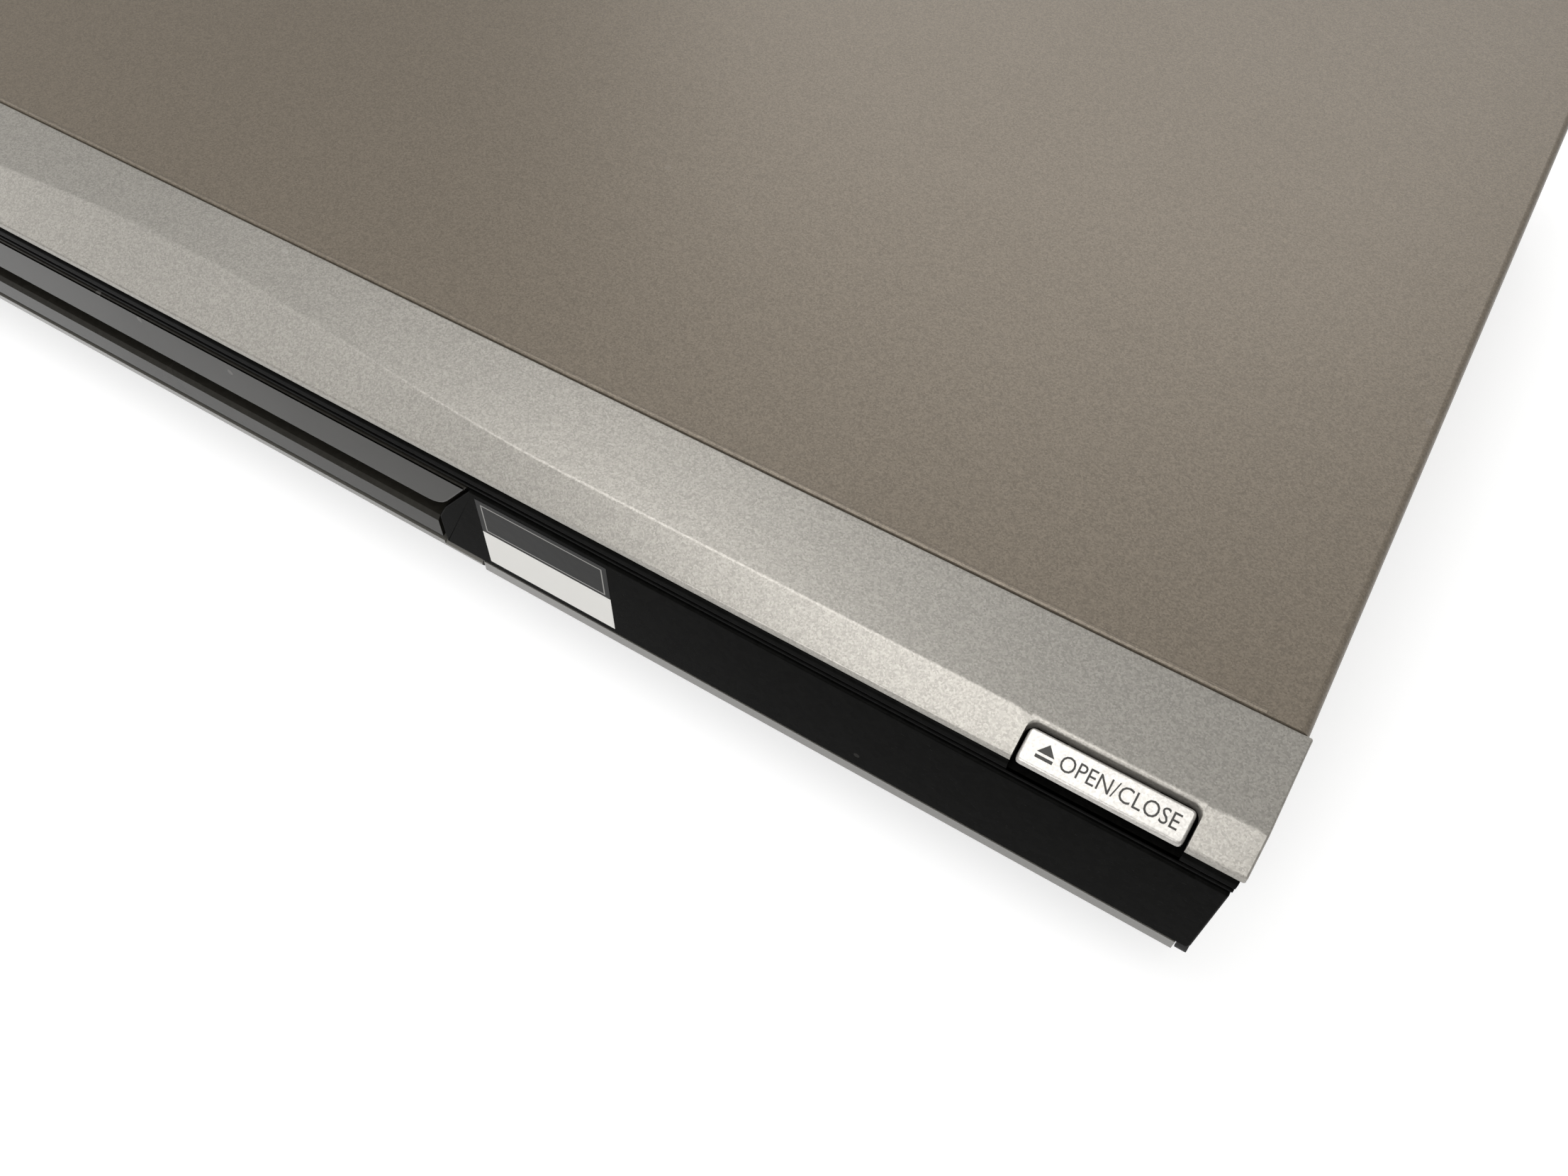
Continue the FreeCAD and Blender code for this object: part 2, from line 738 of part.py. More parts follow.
def fascia():
    """Silver moulding: two bands that meet at a waved crease, end cheeks, and a tongue under the cover."""
    half, spread, steps = number("width/2"), number("crease_spread"), 8
    wave = [spread*index/steps for index in range(-steps, steps + 1)]
    sections = [section_wire(x) for x in [-half] + wave + [half]]
    bands = shaped("fascia_bands", Part.makeLoft(sections, True, True))
    cheeks = []
    for side in (-1, 1):
        inner = side*(half - number("fascia_wall"))
        start = min(inner, side*half)
        face = Part.Face(section_wire(start, True))
        cheeks.append(shaped("fascia_cheek_%s" % ("left" if side < 0 else "right"),
                             face.extrude(Vector(number("fascia_wall"), 0, 0))))
    tongue = block("fascia_tongue", ("-cover_half + 2*gauge", "cover_half - 2*gauge"),
                   ("cover_edge - 3", "cover_edge + fascia_tongue"), ("ceiling - 1.8", "ceiling - 0.2"))
    whole = fuse("fascia_shell", [bands, tongue] + cheeks)
    notches = []
    for side in ("-1", "1"):
        middle = "%s*button_offset" % side
        half_width = "(button_width/2 + button_gap)"
        notches.append(block("fascia_notch_%d" % len(notches),
                             (middle + " - " + half_width, middle + " + " + half_width),
                             ("front - 1", "front + lip_inset + button_depth + button_gap"),
                             ("lip_foot - 1", "height")))
    return node("fascia", cut("fascia_cut", whole, notches))


def upper_trim():
    """Gloss black lip under the fascia: a grooved upright and a ledge over the flap."""
    body = new_body("upper_trim_moulding")
    groove_low, groove_high = "ledge_top - 0.5", "ledge_top + 0.2"
    outline = [
        ("front + 0.9", "trim_foot"), ("wall_front", "trim_foot"), ("wall_front", "ledge_top"),
        ("front + trim_upright", "ledge_top"), ("front + trim_upright", "trim_top"),
        ("front + 0.3", "trim_top"), ("front", "trim_top - 0.5"), ("front", groove_high),
        ("front + trim_groove", groove_high), ("front + trim_groove", groove_low),
        ("front + 0.2", groove_low), ("front + 0.2", "trim_foot + 0.6"),
    ]
    pad(body, "lip", "x", ("-panel_end", "panel_end"), [outline])
    notches = []
    for side in ("-1", "1"):
        middle = "%s*button_offset" % side
        notches.append(rectangle((middle + " - button_width/2 - button_gap",
                                  middle + " + button_width/2 + button_gap"),
                                 ("front - 1", "front + trim_upright + 1")))
    pocket(body, "button_notches", "z", ("ledge_top", "trim_top + 1"), notches)
    return node("upper_trim", body)


# Front: moulded frame behind the black panels

def front_frame():
    """Wall behind the panels with its cut-outs, chin, end cheeks, hinge brackets and key-board shelves."""
    body = new_body("front_frame_moulding")
    chin_y = "front + 6"
    bottom = "foot_height"
    outline = [
        (chin_y, "chin_top"), (chin_y + " + chin_slant", bottom), ("cover_edge - running_gap", bottom),
        ("cover_edge - running_gap", bottom + " + frame_wall"),
        (chin_y + " + chin_slant + 1", bottom + " + frame_wall"),
        ("wall_back", "chin_top - frame_wall"), ("wall_back", "trim_top"), ("wall_front", "trim_top"),
        ("wall_front", "chin_top"),
    ]
    pad(body, "wall_and_chin", "x", ("-panel_end", "panel_end"), [outline])
    cheek = [
        ("panel_back + running_gap", "trim_foot - running_gap"),
        ("panel_back + running_gap", "flap_foot + 3"),
        (chin_y, "flap_foot + 0.5"), (chin_y, "chin_top"), (chin_y + " + chin_slant", bottom),
        ("cover_edge - running_gap", bottom), ("cover_edge - running_gap", "trim_top"),
        ("wall_front", "trim_top"), ("wall_front", "trim_foot - running_gap"),
    ]
    pad(body, "right_cheek", "x", ("cheek_inner", "panel_end"), [cheek])
    pad(body, "left_cheek", "x", ("-panel_end", "-cheek_inner"), [cheek])
    nose = ("strip_end + running_gap", "panel_end")
    pad(body, "hinge_nose_arm", "x", nose, [[
        ("hinge_y", "hinge_z - knuckle_radius"), (chin_y + " + 1", "hinge_z - knuckle_radius"),
        (chin_y + " + 1", "hinge_z + knuckle_radius"), ("hinge_y", "hinge_z + knuckle_radius")]])
    pad(body, "hinge_nose", "x", nose, [("hinge_y", "hinge_z", "knuckle_radius")])
    pocket(body, "hinge_nose_bore", "x", ("strip_end", "panel_end + 1"),
           [("hinge_y", "hinge_z", "hinge_pin_radius")])
    shelf_half = "(button_width/2 + 1)"
    for side in ("-1", "1"):
        middle = "%s*button_offset" % side
        name = "left" if side == "-1" else "right"
        pad(body, name + "_shelf", "y", ("wall_back - 0.5", "cover_edge - 2"),
            [rectangle((middle + " - " + shelf_half, middle + " + " + shelf_half),
                       ("key_shelf_top - 1.6", "key_shelf_top"))])
        pocket(body, name + "_arm_notch", "y", ("wall_front - 0.1", "wall_back + 0.1"),
               [rectangle((middle + " - button_arm/2 - 1", middle + " + button_arm/2 + 1"),
                          ("arm_foot - press_travel - 0.5", "trim_top + 1"))])
    for index, (x, z) in enumerate(front_board_posts()):
        pad(body, "post_%d" % index, "y", ("wall_back - 0.5", "front_board_front"), [ngon(x, z, "2.5")])
    cuts = [
        rectangle(("-tray_half - 1.5", "tray_half + 1.5"), ("tray_foot - 0.6", "tray_top + 0.6")),
        rectangle(("usb_x - usb_width/2 - running_gap", "usb_x + usb_width/2 + running_gap"),
                  ("socket_z - usb_height/2 - running_gap", "socket_z + usb_height/2 + running_gap")),
        rectangle(("card_slot_x - card_slot_width/2 - running_gap",
                   "card_slot_x + card_slot_width/2 + running_gap"),
                  ("socket_z - card_slot_height/2 - running_gap",
                   "socket_z + card_slot_height/2 + running_gap")),
        rectangle(("display_centre - display_width/2 - running_gap",
                   "display_centre + display_width/2 + running_gap"),
                  ("socket_z - display_height/2 - running_gap",
                   "socket_z + display_height/2 + running_gap")),
        ("sensor_x", "socket_z", "2.5 + running_gap"),
        ("stop_button_x", "socket_z", "round_button_radius + running_gap"),
        ("play_button_x", "socket_z", "round_button_radius + running_gap"),
    ]
    pocket(body, "wall_openings", "y", ("wall_front - 0.1", "wall_back + 0.1"), cuts)
    pocket(body, "rack_notch", "y", ("wall_front - 0.1", "wall_back + 0.1"),
           [rectangle(("rack_x - 2*gear_module - rack_back", "rack_x + 2*gear_module"),
                      ("rack_foot - 2*running_gap", "tray_foot"))])
    return node("front_frame", body)


def front_board_posts():
    """Posts that carry the front board behind the flap and the display board behind the window."""
    places = []
    for start, end in (("front_board_start", "front_board_end"),
                       ("-front_board_end", "-front_board_start")):
        for x in (start + " + 4", end + " - 4"):
            for z in ("socket_z - 9", "socket_z + 6"):
                places.append((x, z))
    return places


def panel_outline(side, end):
    """Outline in XZ of a black front panel, with the slanted edge that follows the tray door."""
    seam = "flap_seam"
    inner_top = "door_half_top + " + seam
    inner_mid = "door_half_foot + " + seam
    inner_low = "centre_half + " + seam
    corners = [
        (inner_low, "flap_foot"), (end, "flap_foot"), (end, "flap_top"), (inner_top, "flap_top"),
        (inner_mid, "door_foot"), (inner_low, "centre_top + 1"),
    ]
    return [("%s*(%s)" % (side, x), z) for x, z in corners]


def window_panel():
    """Fixed smoked panel on the left, over the display and the remote sensor."""
    body = new_body("window_panel_moulding")
    pad(body, "pane", "y", ("front", "panel_back"), [panel_outline("-1", "panel_end")])
    for side, x in (("inner", "-strip_start - clip_inset"), ("outer", "-strip_end + clip_inset")):
        pad(body, side + "_clip", "y", ("panel_back - 0.5", "wall_front"),
            [rectangle((x + " - 2", x + " + 2"), ("flap_foot + 1", "flap_foot + 3"))])
    return node("window_panel", body)


def flap_panel():
    """Drop-down flap, with a shallow recess for its label."""
    body = new_body("flap_panel_moulding")
    pad(body, "pane", "y", ("front", "panel_back"), [panel_outline("1", "panel_end")])
    edge = "label_thick/2"
    pocket(body, "label_recess", "y", ("front", "front + label_thick"),
           [rectangle(("label_start - " + edge, "label_start + label_width + " + edge),
                      ("label_foot - " + edge, "label_top + " + edge))])
    return node("flap_panel", body)


def strip_outline(foot, top):
    """Section in YZ of the clear strip under a black panel, with a bevelled foot."""
    return [("front", top), ("front", foot + " + 1"), ("front + 0.8", foot), ("front + strip_wall", foot),
            ("front + strip_wall", top)]


def flap_strip():
    """Clear strip along the foot of the flap; its knuckles turn on the hinge pins."""
    body = new_body("flap_strip_moulding")
    pad(body, "strip", "x", ("strip_start", "strip_end"), [strip_outline("flap_strip_foot", "flap_foot")])
    for name, x in (("left", ("strip_start", "strip_start + knuckle_width")),
                    ("right", ("strip_end - knuckle_width", "strip_end"))):
        knuckle(body, name + "_knuckle", x, "hinge_pin_radius + 0.1")
    return node("flap_strip", body)


def knuckle(body, name, x, bore):
    """Round hinge knuckle along X with a bore for its pin."""
    pad(body, name, "x", x, [("hinge_y", "hinge_z", "knuckle_radius")])
    pocket(body, name + "_bore", "x", (x[0] + " - 0.1", x[1] + " + 0.1"), [("hinge_y", "hinge_z", bore)])


def lower_strip():
    """Fixed strip under the window and the centre panel, with a flange to the wall of the frame."""
    body = new_body("lower_strip_moulding")
    pad(body, "left_part", "x", ("-strip_end", "-centre_half - flap_seam"),
        [strip_outline("fixed_strip_foot", "flap_foot")])
    pad(body, "middle_part", "x", ("-centre_half - flap_seam - 1", "fixed_strip_end"),
        [strip_outline("fixed_strip_foot", "fixed_strip_top")])
    pocket(body, "flap_relief", "x", ("centre_half", "fixed_strip_end + 1"),
           [[("front - 0.1", "fixed_strip_top - 0.9"), ("front + 0.9", "fixed_strip_top + 0.1"),
             ("front - 0.1", "fixed_strip_top + 0.1")]])
    knuckle(body, "fixed_knuckle", ("fixed_strip_end - knuckle_width", "fixed_strip_end"),
            "hinge_pin_radius")
    pad(body, "flange", "x", ("-strip_end + 8", "strip_start - 10"),
        [rectangle(("front + 1", "wall_front"), ("fixed_strip_foot", "fixed_strip_foot + 1.2"))])
    return node("lower_strip", body)


def centre_panel():
    """Gloss panel below the tray door, a shallow channel open to the back."""
    body = new_body("centre_panel_moulding")
    outline = [("front", "centre_foot"), ("wall_front", "centre_foot"), ("wall_front", "centre_foot + 1.5"),
               ("front + 2", "centre_foot + 1.5"), ("front + 2", "centre_top - 1.5"),
               ("wall_front", "centre_top - 1.5"), ("wall_front", "centre_top"),
               ("front + 0.8", "centre_top"), ("front", "centre_top - 0.8")]
    pad(body, "channel", "x", ("-centre_half", "centre_half"), [outline])
    return node("centre_panel", body)


def hinge_pins():
    """Two steel pins that carry the flap: one in the fixed strip and one in the right cheek."""
    places = {"left": ("fixed_strip_end - knuckle_width", "strip_start + knuckle_width - running_gap"),
              "right": ("strip_end - knuckle_width + running_gap", "panel_end")}
    items = [rod("hinge_pin_" + name, "x", along, ("hinge_y", "hinge_z"), "hinge_pin_radius")
             for name, along in places.items()]
    return node("flap_hinge_pins", group("flap_hinge_pins_group", items))


def flap_label():
    """Blank two-tone sticker on the left end of the flap."""
    item = block("flap_label_sheet", ("label_start", "label_start + label_width"),
                 ("front", "front + label_thick"),
                 ("label_foot", "label_top"))
    return node("flap_label", item)


# Push buttons and their switches

def top_button(name, side):
    """Silver key with a sloped top and an arm that reaches back over its switch."""
    body = new_body(name + "_moulding")
    middle = "%s*button_offset" % side
    front_y, back_y = "front + lip_inset", "front + lip_inset + button_depth"
    foot = "ledge_top + press_travel + 0.4"
    cap = [(front_y, foot), (front_y, "fascia_edge - button_drop"),
           (back_y, "fascia_edge - button_drop + button_depth/2"), (back_y, foot)]
    pad(body, "cap", "x", (middle + " - button_width/2", middle + " + button_width/2"), [cap])
    arm = rectangle((back_y + " - 0.5", "cover_edge - 4"), ("arm_foot", "arm_foot + 1.6"))
    pad(body, "arm", "x", (middle + " - button_arm/2", middle + " + button_arm/2"), [arm])
    return node(name, body)


def round_button(name, x):
    """Round key behind the flap with a flange inside the wall."""
    cap = rod(name + "_cap", "y", ("wall_front - round_button_reach", "wall_back + 0.4"), (x, "socket_z"),
              "round_button_radius")
    flange = rod(name + "_flange", "y", ("wall_back + running_gap", "wall_back + 1.4"), (x, "socket_z"),
                 "round_button_radius + 1.2")
    stem = rod(name + "_stem", "y", ("wall_back + 1.3", "plunger_tip - press_travel - 0.1"),
               (x, "socket_z"), "1.5")
    return node(name, fuse(name + "_moulding", [cap, flange, stem]))


def key_switches():
    """Four tact switches: two flat under the top keys, two upright behind the round keys."""
    items = []
    for side in ("-1", "1"):
        x, y = "%s*button_offset" % side, "cover_edge - 7"
        half = "switch_side/2"
        case = block("key_switch_case_%d" % len(items), (x + " - " + half, x + " + " + half),
                     (y + " - " + half, y + " + " + half), ("key_board_top", "key_board_top + switch_body"))
        plunger = prism("key_switch_plunger_%d" % len(items), "z",
                      ("key_board_top + 1", "key_board_top + switch_body + switch_plunger"), (x, y),
                      "switch_plunger_radius")
        items.append(fuse("key_switch_%d" % len(items), [case, plunger]))
    for x in ("stop_button_x", "play_button_x"):
        half = "switch_side/2"
        case = block("key_switch_case_%d" % len(items), (x + " - " + half, x + " + " + half),
                     ("front_board_front - switch_body", "front_board_front"),
                     ("socket_z - " + half, "socket_z + " + half))
        plunger = prism("key_switch_plunger_%d" % len(items), "y", ("plunger_tip", "front_board_front - 1"),
                      (x, "socket_z"), "switch_plunger_radius")
        items.append(fuse("key_switch_%d" % len(items), [case, plunger]))
    return node("key_switches", group("key_switches_group", items))


def small_boards():
    """Small boards behind the front for sockets, display and top keys, and one on the drive deck."""
    low, high = "socket_z - 12", "socket_z + 9"
    y = ("front_board_front", "front_board_back")
    items = [block("socket_board", ("front_board_start", "front_board_end"), y, (low, high)),
             block("display_board", ("-front_board_end", "-front_board_start"), y, (low, high))]
    for side in ("-1", "1"):
        middle = "%s*button_offset" % side
        items.append(block("key_board_%d" % len(items),
                           (middle + " - button_width/2", middle + " + button_width/2"),
                           ("wall_back + 0.2", "cover_edge - 2"), ("key_shelf_top", "key_board_top")))
    items.append(block("drive_board", ("ribbon_start - 30", "ribbon_start + 5"),
                       ("window_rear + 3", "loader_rear - 3"),
                       ("deck_top", "deck_top + 1.2")))
    return node("small_boards", group("small_boards_group", items))


def display_module():
    """Glass fluorescent display: a flat envelope on a frame that stands on its board."""
    x = ("display_centre - display_width/2", "display_centre + display_width/2")
    z = ("socket_z - display_height/2", "socket_z + display_height/2")
    glass = block("display_glass", x, ("panel_back + 0.6", "panel_back + 4"), z)
    frame = block("display_frame",
                  ("display_centre - display_width/2 + 3", "display_centre + display_width/2 - 3"),
                  ("panel_back + 3.9", "front_board_front"), ("socket_z - 4", "socket_z + 4"))
    return node("display_module", fuse("display_module_parts", [glass, frame]))


def remote_sensor():
    """Infrared receiver: a small block with a tapered window, on the display board."""
    dome = rod("sensor_dome", "y", ("wall_front - 3", "wall_front - 1"), ("sensor_x", "socket_z"), "1.4",
               "2.4")
    neck = rod("sensor_neck", "y", ("wall_front - 1", "front_board_front - 4"), ("sensor_x", "socket_z"),
               "2.4")
    case = block("sensor_case", ("sensor_x - 3.5", "sensor_x + 3.5"),
                 ("front_board_front - 4.5", "front_board_front"),
                 ("socket_z - 4", "socket_z + 3.5"))
    return node("remote_sensor", fuse("remote_sensor_parts", [dome, neck, case]))


def usb_port():
    """Metal shell with a contact tongue, flush with the wall behind the flap."""
    y = ("wall_front - 0.5", "front_board_front")
    shell = block("usb_shell", ("usb_x - usb_width/2", "usb_x + usb_width/2"), y,
                  ("socket_z - usb_height/2", "socket_z + usb_height/2"))
    bore = block("usb_bore", ("usb_x - usb_width/2 + 0.4", "usb_x + usb_width/2 - 0.4"),
                 ("wall_front - 1", "front_board_front - 1"),
                 ("socket_z - usb_height/2 + 0.4", "socket_z + usb_height/2 - 0.4"))
    tongue = block("usb_tongue", ("usb_x - usb_width/2 + 1", "usb_x + usb_width/2 - 1"),
                   ("wall_front + 0.5", "front_board_front - 0.5"), ("socket_z", "socket_z + 1.9"))
    return node("usb_port", fuse("usb_parts", [cut("usb_case", shell, [bore]), tongue]))


def card_slot():
    """Memory-card reader: a flat sleeve with a slot."""
    y = ("wall_front - 0.4", "front_board_front")
    shell = block("card_shell", ("card_slot_x - card_slot_width/2", "card_slot_x + card_slot_width/2"), y,
                  ("socket_z - card_slot_height/2", "socket_z + card_slot_height/2"))
    bore = block("card_bore",
                 ("card_slot_x - card_slot_width/2 + 1.8", "card_slot_x + card_slot_width/2 - 1.8"),
                 ("wall_front - 1", "front_board_front - 1"), ("socket_z - 1.2", "socket_z + 1.2"))
    return node("card_slot", cut("card_case", shell, [bore]))


def tray_door():
    """Gloss door on the front of the tray, with slanted ends and a rounded foot."""
    body = new_body("tray_door_moulding")
    outline = [("-door_half_foot", "door_foot"), ("door_half_foot", "door_foot"),
               ("door_half_top", "flap_top"), ("-door_half_top", "flap_top")]
    pad(body, "pane", "y", ("front", "tray_front"), [outline])
    fillet(body, "round_corners", "1.2", lambda edge: runs_along(edge, ALONG_Y)
           and abs(edge.BoundBox.ZMin - number("door_foot")) < 1e-6)
    return node("tray_door", body)


# Drive: tray and its rack

def disc_tray():
    """Thin tray: deck, skirts, stepped recess for large and small discs, turntable slot and rack."""
    full = ("-tray_half", "tray_half")
    along = ("tray_front", "tray_rear")
    centre = ("0", "spindle_y")
    parts = [block("tray_deck", full, along, ("tray_top - tray_skin", "tray_top"))]
    for side, x in (("left", ("-tray_half", "-tray_half + tray_skin")),
                    ("right", ("tray_half - tray_skin", "tray_half"))):
        parts.append(block("tray_skirt_" + side, x, along, ("tray_foot", "tray_top")))
    parts.append(block("tray_front_wall", full, ("tray_front", "tray_front + tray_skin"),
                       ("tray_foot", "tray_top")))
    parts.append(rod("tray_drum", "z", ("disc_floor - recess_wall", "tray_top"), centre,
                     "disc_radius + recess_wall"))
    parts.append(rod("tray_small_drum", "z", ("small_disc_floor - recess_wall", "disc_floor"), centre,
                     "small_disc_radius + recess_wall"))
    parts.append(block("rack_bar", ("rack_x - 1.1*gear_module - rack_back", "rack_x - 1.1*gear_module"),
                       ("gear_y - 11", "tray_rear"), ("rack_foot", "tray_top - tray_skin/2")))
    parts.append(shaped("rack_teeth", rack_shape()))
    whole = fuse("tray_moulding", parts)
    above = "tray_top + 1"
    below = "rack_foot - 1"
    tools = [
        rod("large_recess", "z", ("disc_floor", above), centre, "disc_radius"),
        rod("small_recess", "z", ("small_disc_floor", above), centre, "small_disc_radius"),
        rod("centre_opening", "z", (below, above), centre, "slot_half"),
        block("rear_slot", ("-slot_half", "slot_half"), ("spindle_y", "tray_rear + 1"), (below, above)),
        rod("finger_notch", "z", ("disc_floor", above), ("0", "spindle_y - disc_radius"), "4*recess_wall"),
    ]
    return node("disc_tray", cut("tray_cut", whole, tools))


def rack_shape():
    """Straight-sided teeth at 20 degrees, one of them level with the gear, on a bar along Y."""
    module, pitch = number("gear_module"), math.pi*number("gear_module")
    line, foot, top = number("rack_x"), number("rack_foot"), number("pinion_top")
    tip, root = line + 0.8*module, line - 1.1*module - 0.1
    half = pitch/4 - number("gear_play")/4
    lean = math.tan(math.radians(20))
    first = -3
    last = int((number("tray_rear") - number("gear_y"))/pitch - 0.5)
    teeth = []
    for index in range(first, last + 1):
        y = number("gear_y") + index*pitch
        wide, narrow = half + lean*(line - root), half - lean*(tip - line)
        corners = [Vector(root, y - wide, foot), Vector(tip, y - narrow, foot),
                   Vector(tip, y + narrow, foot), Vector(root, y + wide, foot)]
        face = Part.Face(Part.makePolygon(corners + corners[:1]))
        teeth.append(face.extrude(Vector(0, 0, top - foot)))
    return Part.makeCompound(teeth)


def gear_points(teeth, turn):
    """Outline of an involute gear at 20 degrees; turn is the angle of its first tooth."""
    module = number("gear_module")
    pitch_radius = module*teeth/2
    base = pitch_radius*math.cos(math.radians(20))
    tip, root = pitch_radius + 0.8*module, pitch_radius - 1.1*module
    pitch_half = math.pi/(2*teeth) - number("gear_play")/(4*pitch_radius)

    def involute(radius):
        angle = math.acos(min(base/radius, 1))
        return math.tan(angle) - angle

    radii = [root] + ([base] if base > root else []) + [pitch_radius, tip]
    halves = [pitch_half + involute(pitch_radius) - involute(max(radius, base)) for radius in radii]
    points = []
    for index in range(teeth):
        middle = turn + 2*math.pi*index/teeth
        rising = [(radius, middle - half) for radius, half in zip(radii, halves)]
        falling = [(radius, middle + half) for radius, half in zip(radii, halves)]
        points += rising + falling[::-1]
    return [Vector(radius*math.cos(angle), radius*math.sin(angle), 0) for radius, angle in points]


def gear_prism(teeth, turn, low, high):
    points = gear_points(teeth, turn)
    face = Part.Face(Part.makePolygon(points + points[:1]))
    face.translate(Vector(0, 0, low))
    return face.extrude(Vector(0, 0, high - low))


def gear_cylinder(radius, low, high):
    return Part.makeCylinder(radius, high - low, Vector(0, 0, low))


def drive_gear():
    """Wheel with a pinion on top: the pinion meets the rack and the wheel meets the idler."""
    low, step, high = number("wheel_foot"), number("wheel_top"), number("pinion_top")
    pinion = gear_prism(int(number("pinion_teeth")), math.pi/number("pinion_teeth"), step, high)
    wheel = gear_prism(int(number("wheel_teeth")), 0, low, step)
    shape = wheel.fuse(pinion).cut(gear_cylinder(number("gear_bore") + 0.1, low - 1, high + 1))
    item = shaped("drive_gear_shape", shape)
    item.Placement = Placement(Vector(number("gear_x"), number("gear_y"), 0), Rotation())
    return node("drive_gear", item)


def grooved(radius, low, high):
    """Pulley with a groove for a square belt."""
    groove, rim = number("pulley_groove"), (high - low - number("belt_thick + 2*running_gap"))/2
    disc = gear_cylinder(radius, low, high)
    ring = gear_cylinder(radius + 1, low + rim, high - rim).cut(gear_cylinder(radius - groove, low, high))
    return disc.cut(ring)


def idler_gear():
    """Small gear under a large pulley."""
    low, step, high = number("wheel_foot"), number("wheel_top"), number("pinion_top")
    gear = gear_prism(int(number("idler_teeth")), math.pi/number("idler_teeth"), low, step + 0.2)
    pulley = grooved(number("pulley_radius"), step + 0.2, high)
    shape = gear.fuse(pulley).cut(gear_cylinder(number("gear_bore") + 0.1, low - 1, high + 1))
    item = shaped("idler_gear_shape", shape)
    item.Placement = Placement(Vector(number("idler_x"), number("gear_y"), 0), Rotation())
    return node("idler_gear", item)


def motor_pulley():
    low, high = number("wheel_top") + 0.2, number("pinion_top")
    shape = grooved(number("motor_pulley_radius"), low, high).cut(gear_cylinder(1, low - 1, high + 1))
    item = shaped("motor_pulley_shape", shape)
    item.Placement = Placement(Vector(number("motor_x"), number("gear_y"), 0), Rotation())
    return node("motor_pulley", item)


def drive_belt():
    """Square belt round both pulleys: two outer tangents and two arcs, less the same loop drawn inside."""
    thick, groove = number("belt_thick"), number("pulley_groove - running_gap")
    large, small = number("pulley_radius") - groove, number("motor_pulley_radius") - groove
    middle = (number("wheel_top") + 0.2 + number("pinion_top"))/2
    low = middle - thick/2
    outer = belt_loop(large + thick, small + thick, low)
    inner = belt_loop(large, small, low)
    shape = Part.Face(outer).cut(Part.Face(inner)).extrude(Vector(0, 0, thick))
    return node("drive_belt", shaped("drive_belt_shape", shape))


def belt_loop(large, small, level):
    """Closed wire round a circle at the idler and a smaller one at the motor."""
    start, end, y = number("idler_x"), number("motor_x"), number("gear_y")
    lean = math.asin((large - small)/(end - start))

    def point(x, radius, angle):
        return Vector(x + radius*math.cos(angle), y + radius*math.sin(angle), level)

    up = math.pi/2 - lean
    upper = (point(start, large, up), point(end, small, up))
    lower = (point(start, large, -up), point(end, small, -up))
    edges = [
        Part.LineSegment(upper[0], upper[1]).toShape(),
        Part.Arc(upper[1], point(end, small, 0), lower[1]).toShape(),
        Part.LineSegment(lower[1], lower[0]).toShape(),
        Part.Arc(lower[0], point(start, large, math.pi), upper[0]).toShape(),
    ]
    return Part.Wire(edges)


def tray_motor():
    """Can motor that hangs under the deck, with its shaft up through the pulley."""
    place = ("motor_x", "gear_y")
    can = rod("tray_motor_can", "z", ("deck_foot - tray_motor_height", "deck_foot"), place,
              "tray_motor_radius")
    collar = rod("tray_motor_collar", "z", ("deck_foot - 0.5", "deck_top"), place, "2.9")
    shaft = rod("tray_motor_shaft", "z", ("deck_foot", "pinion_top + 0.4"), place, "1")
    return node("tray_motor", fuse("tray_motor_parts", [can, collar, shaft]))


# Drive: loader

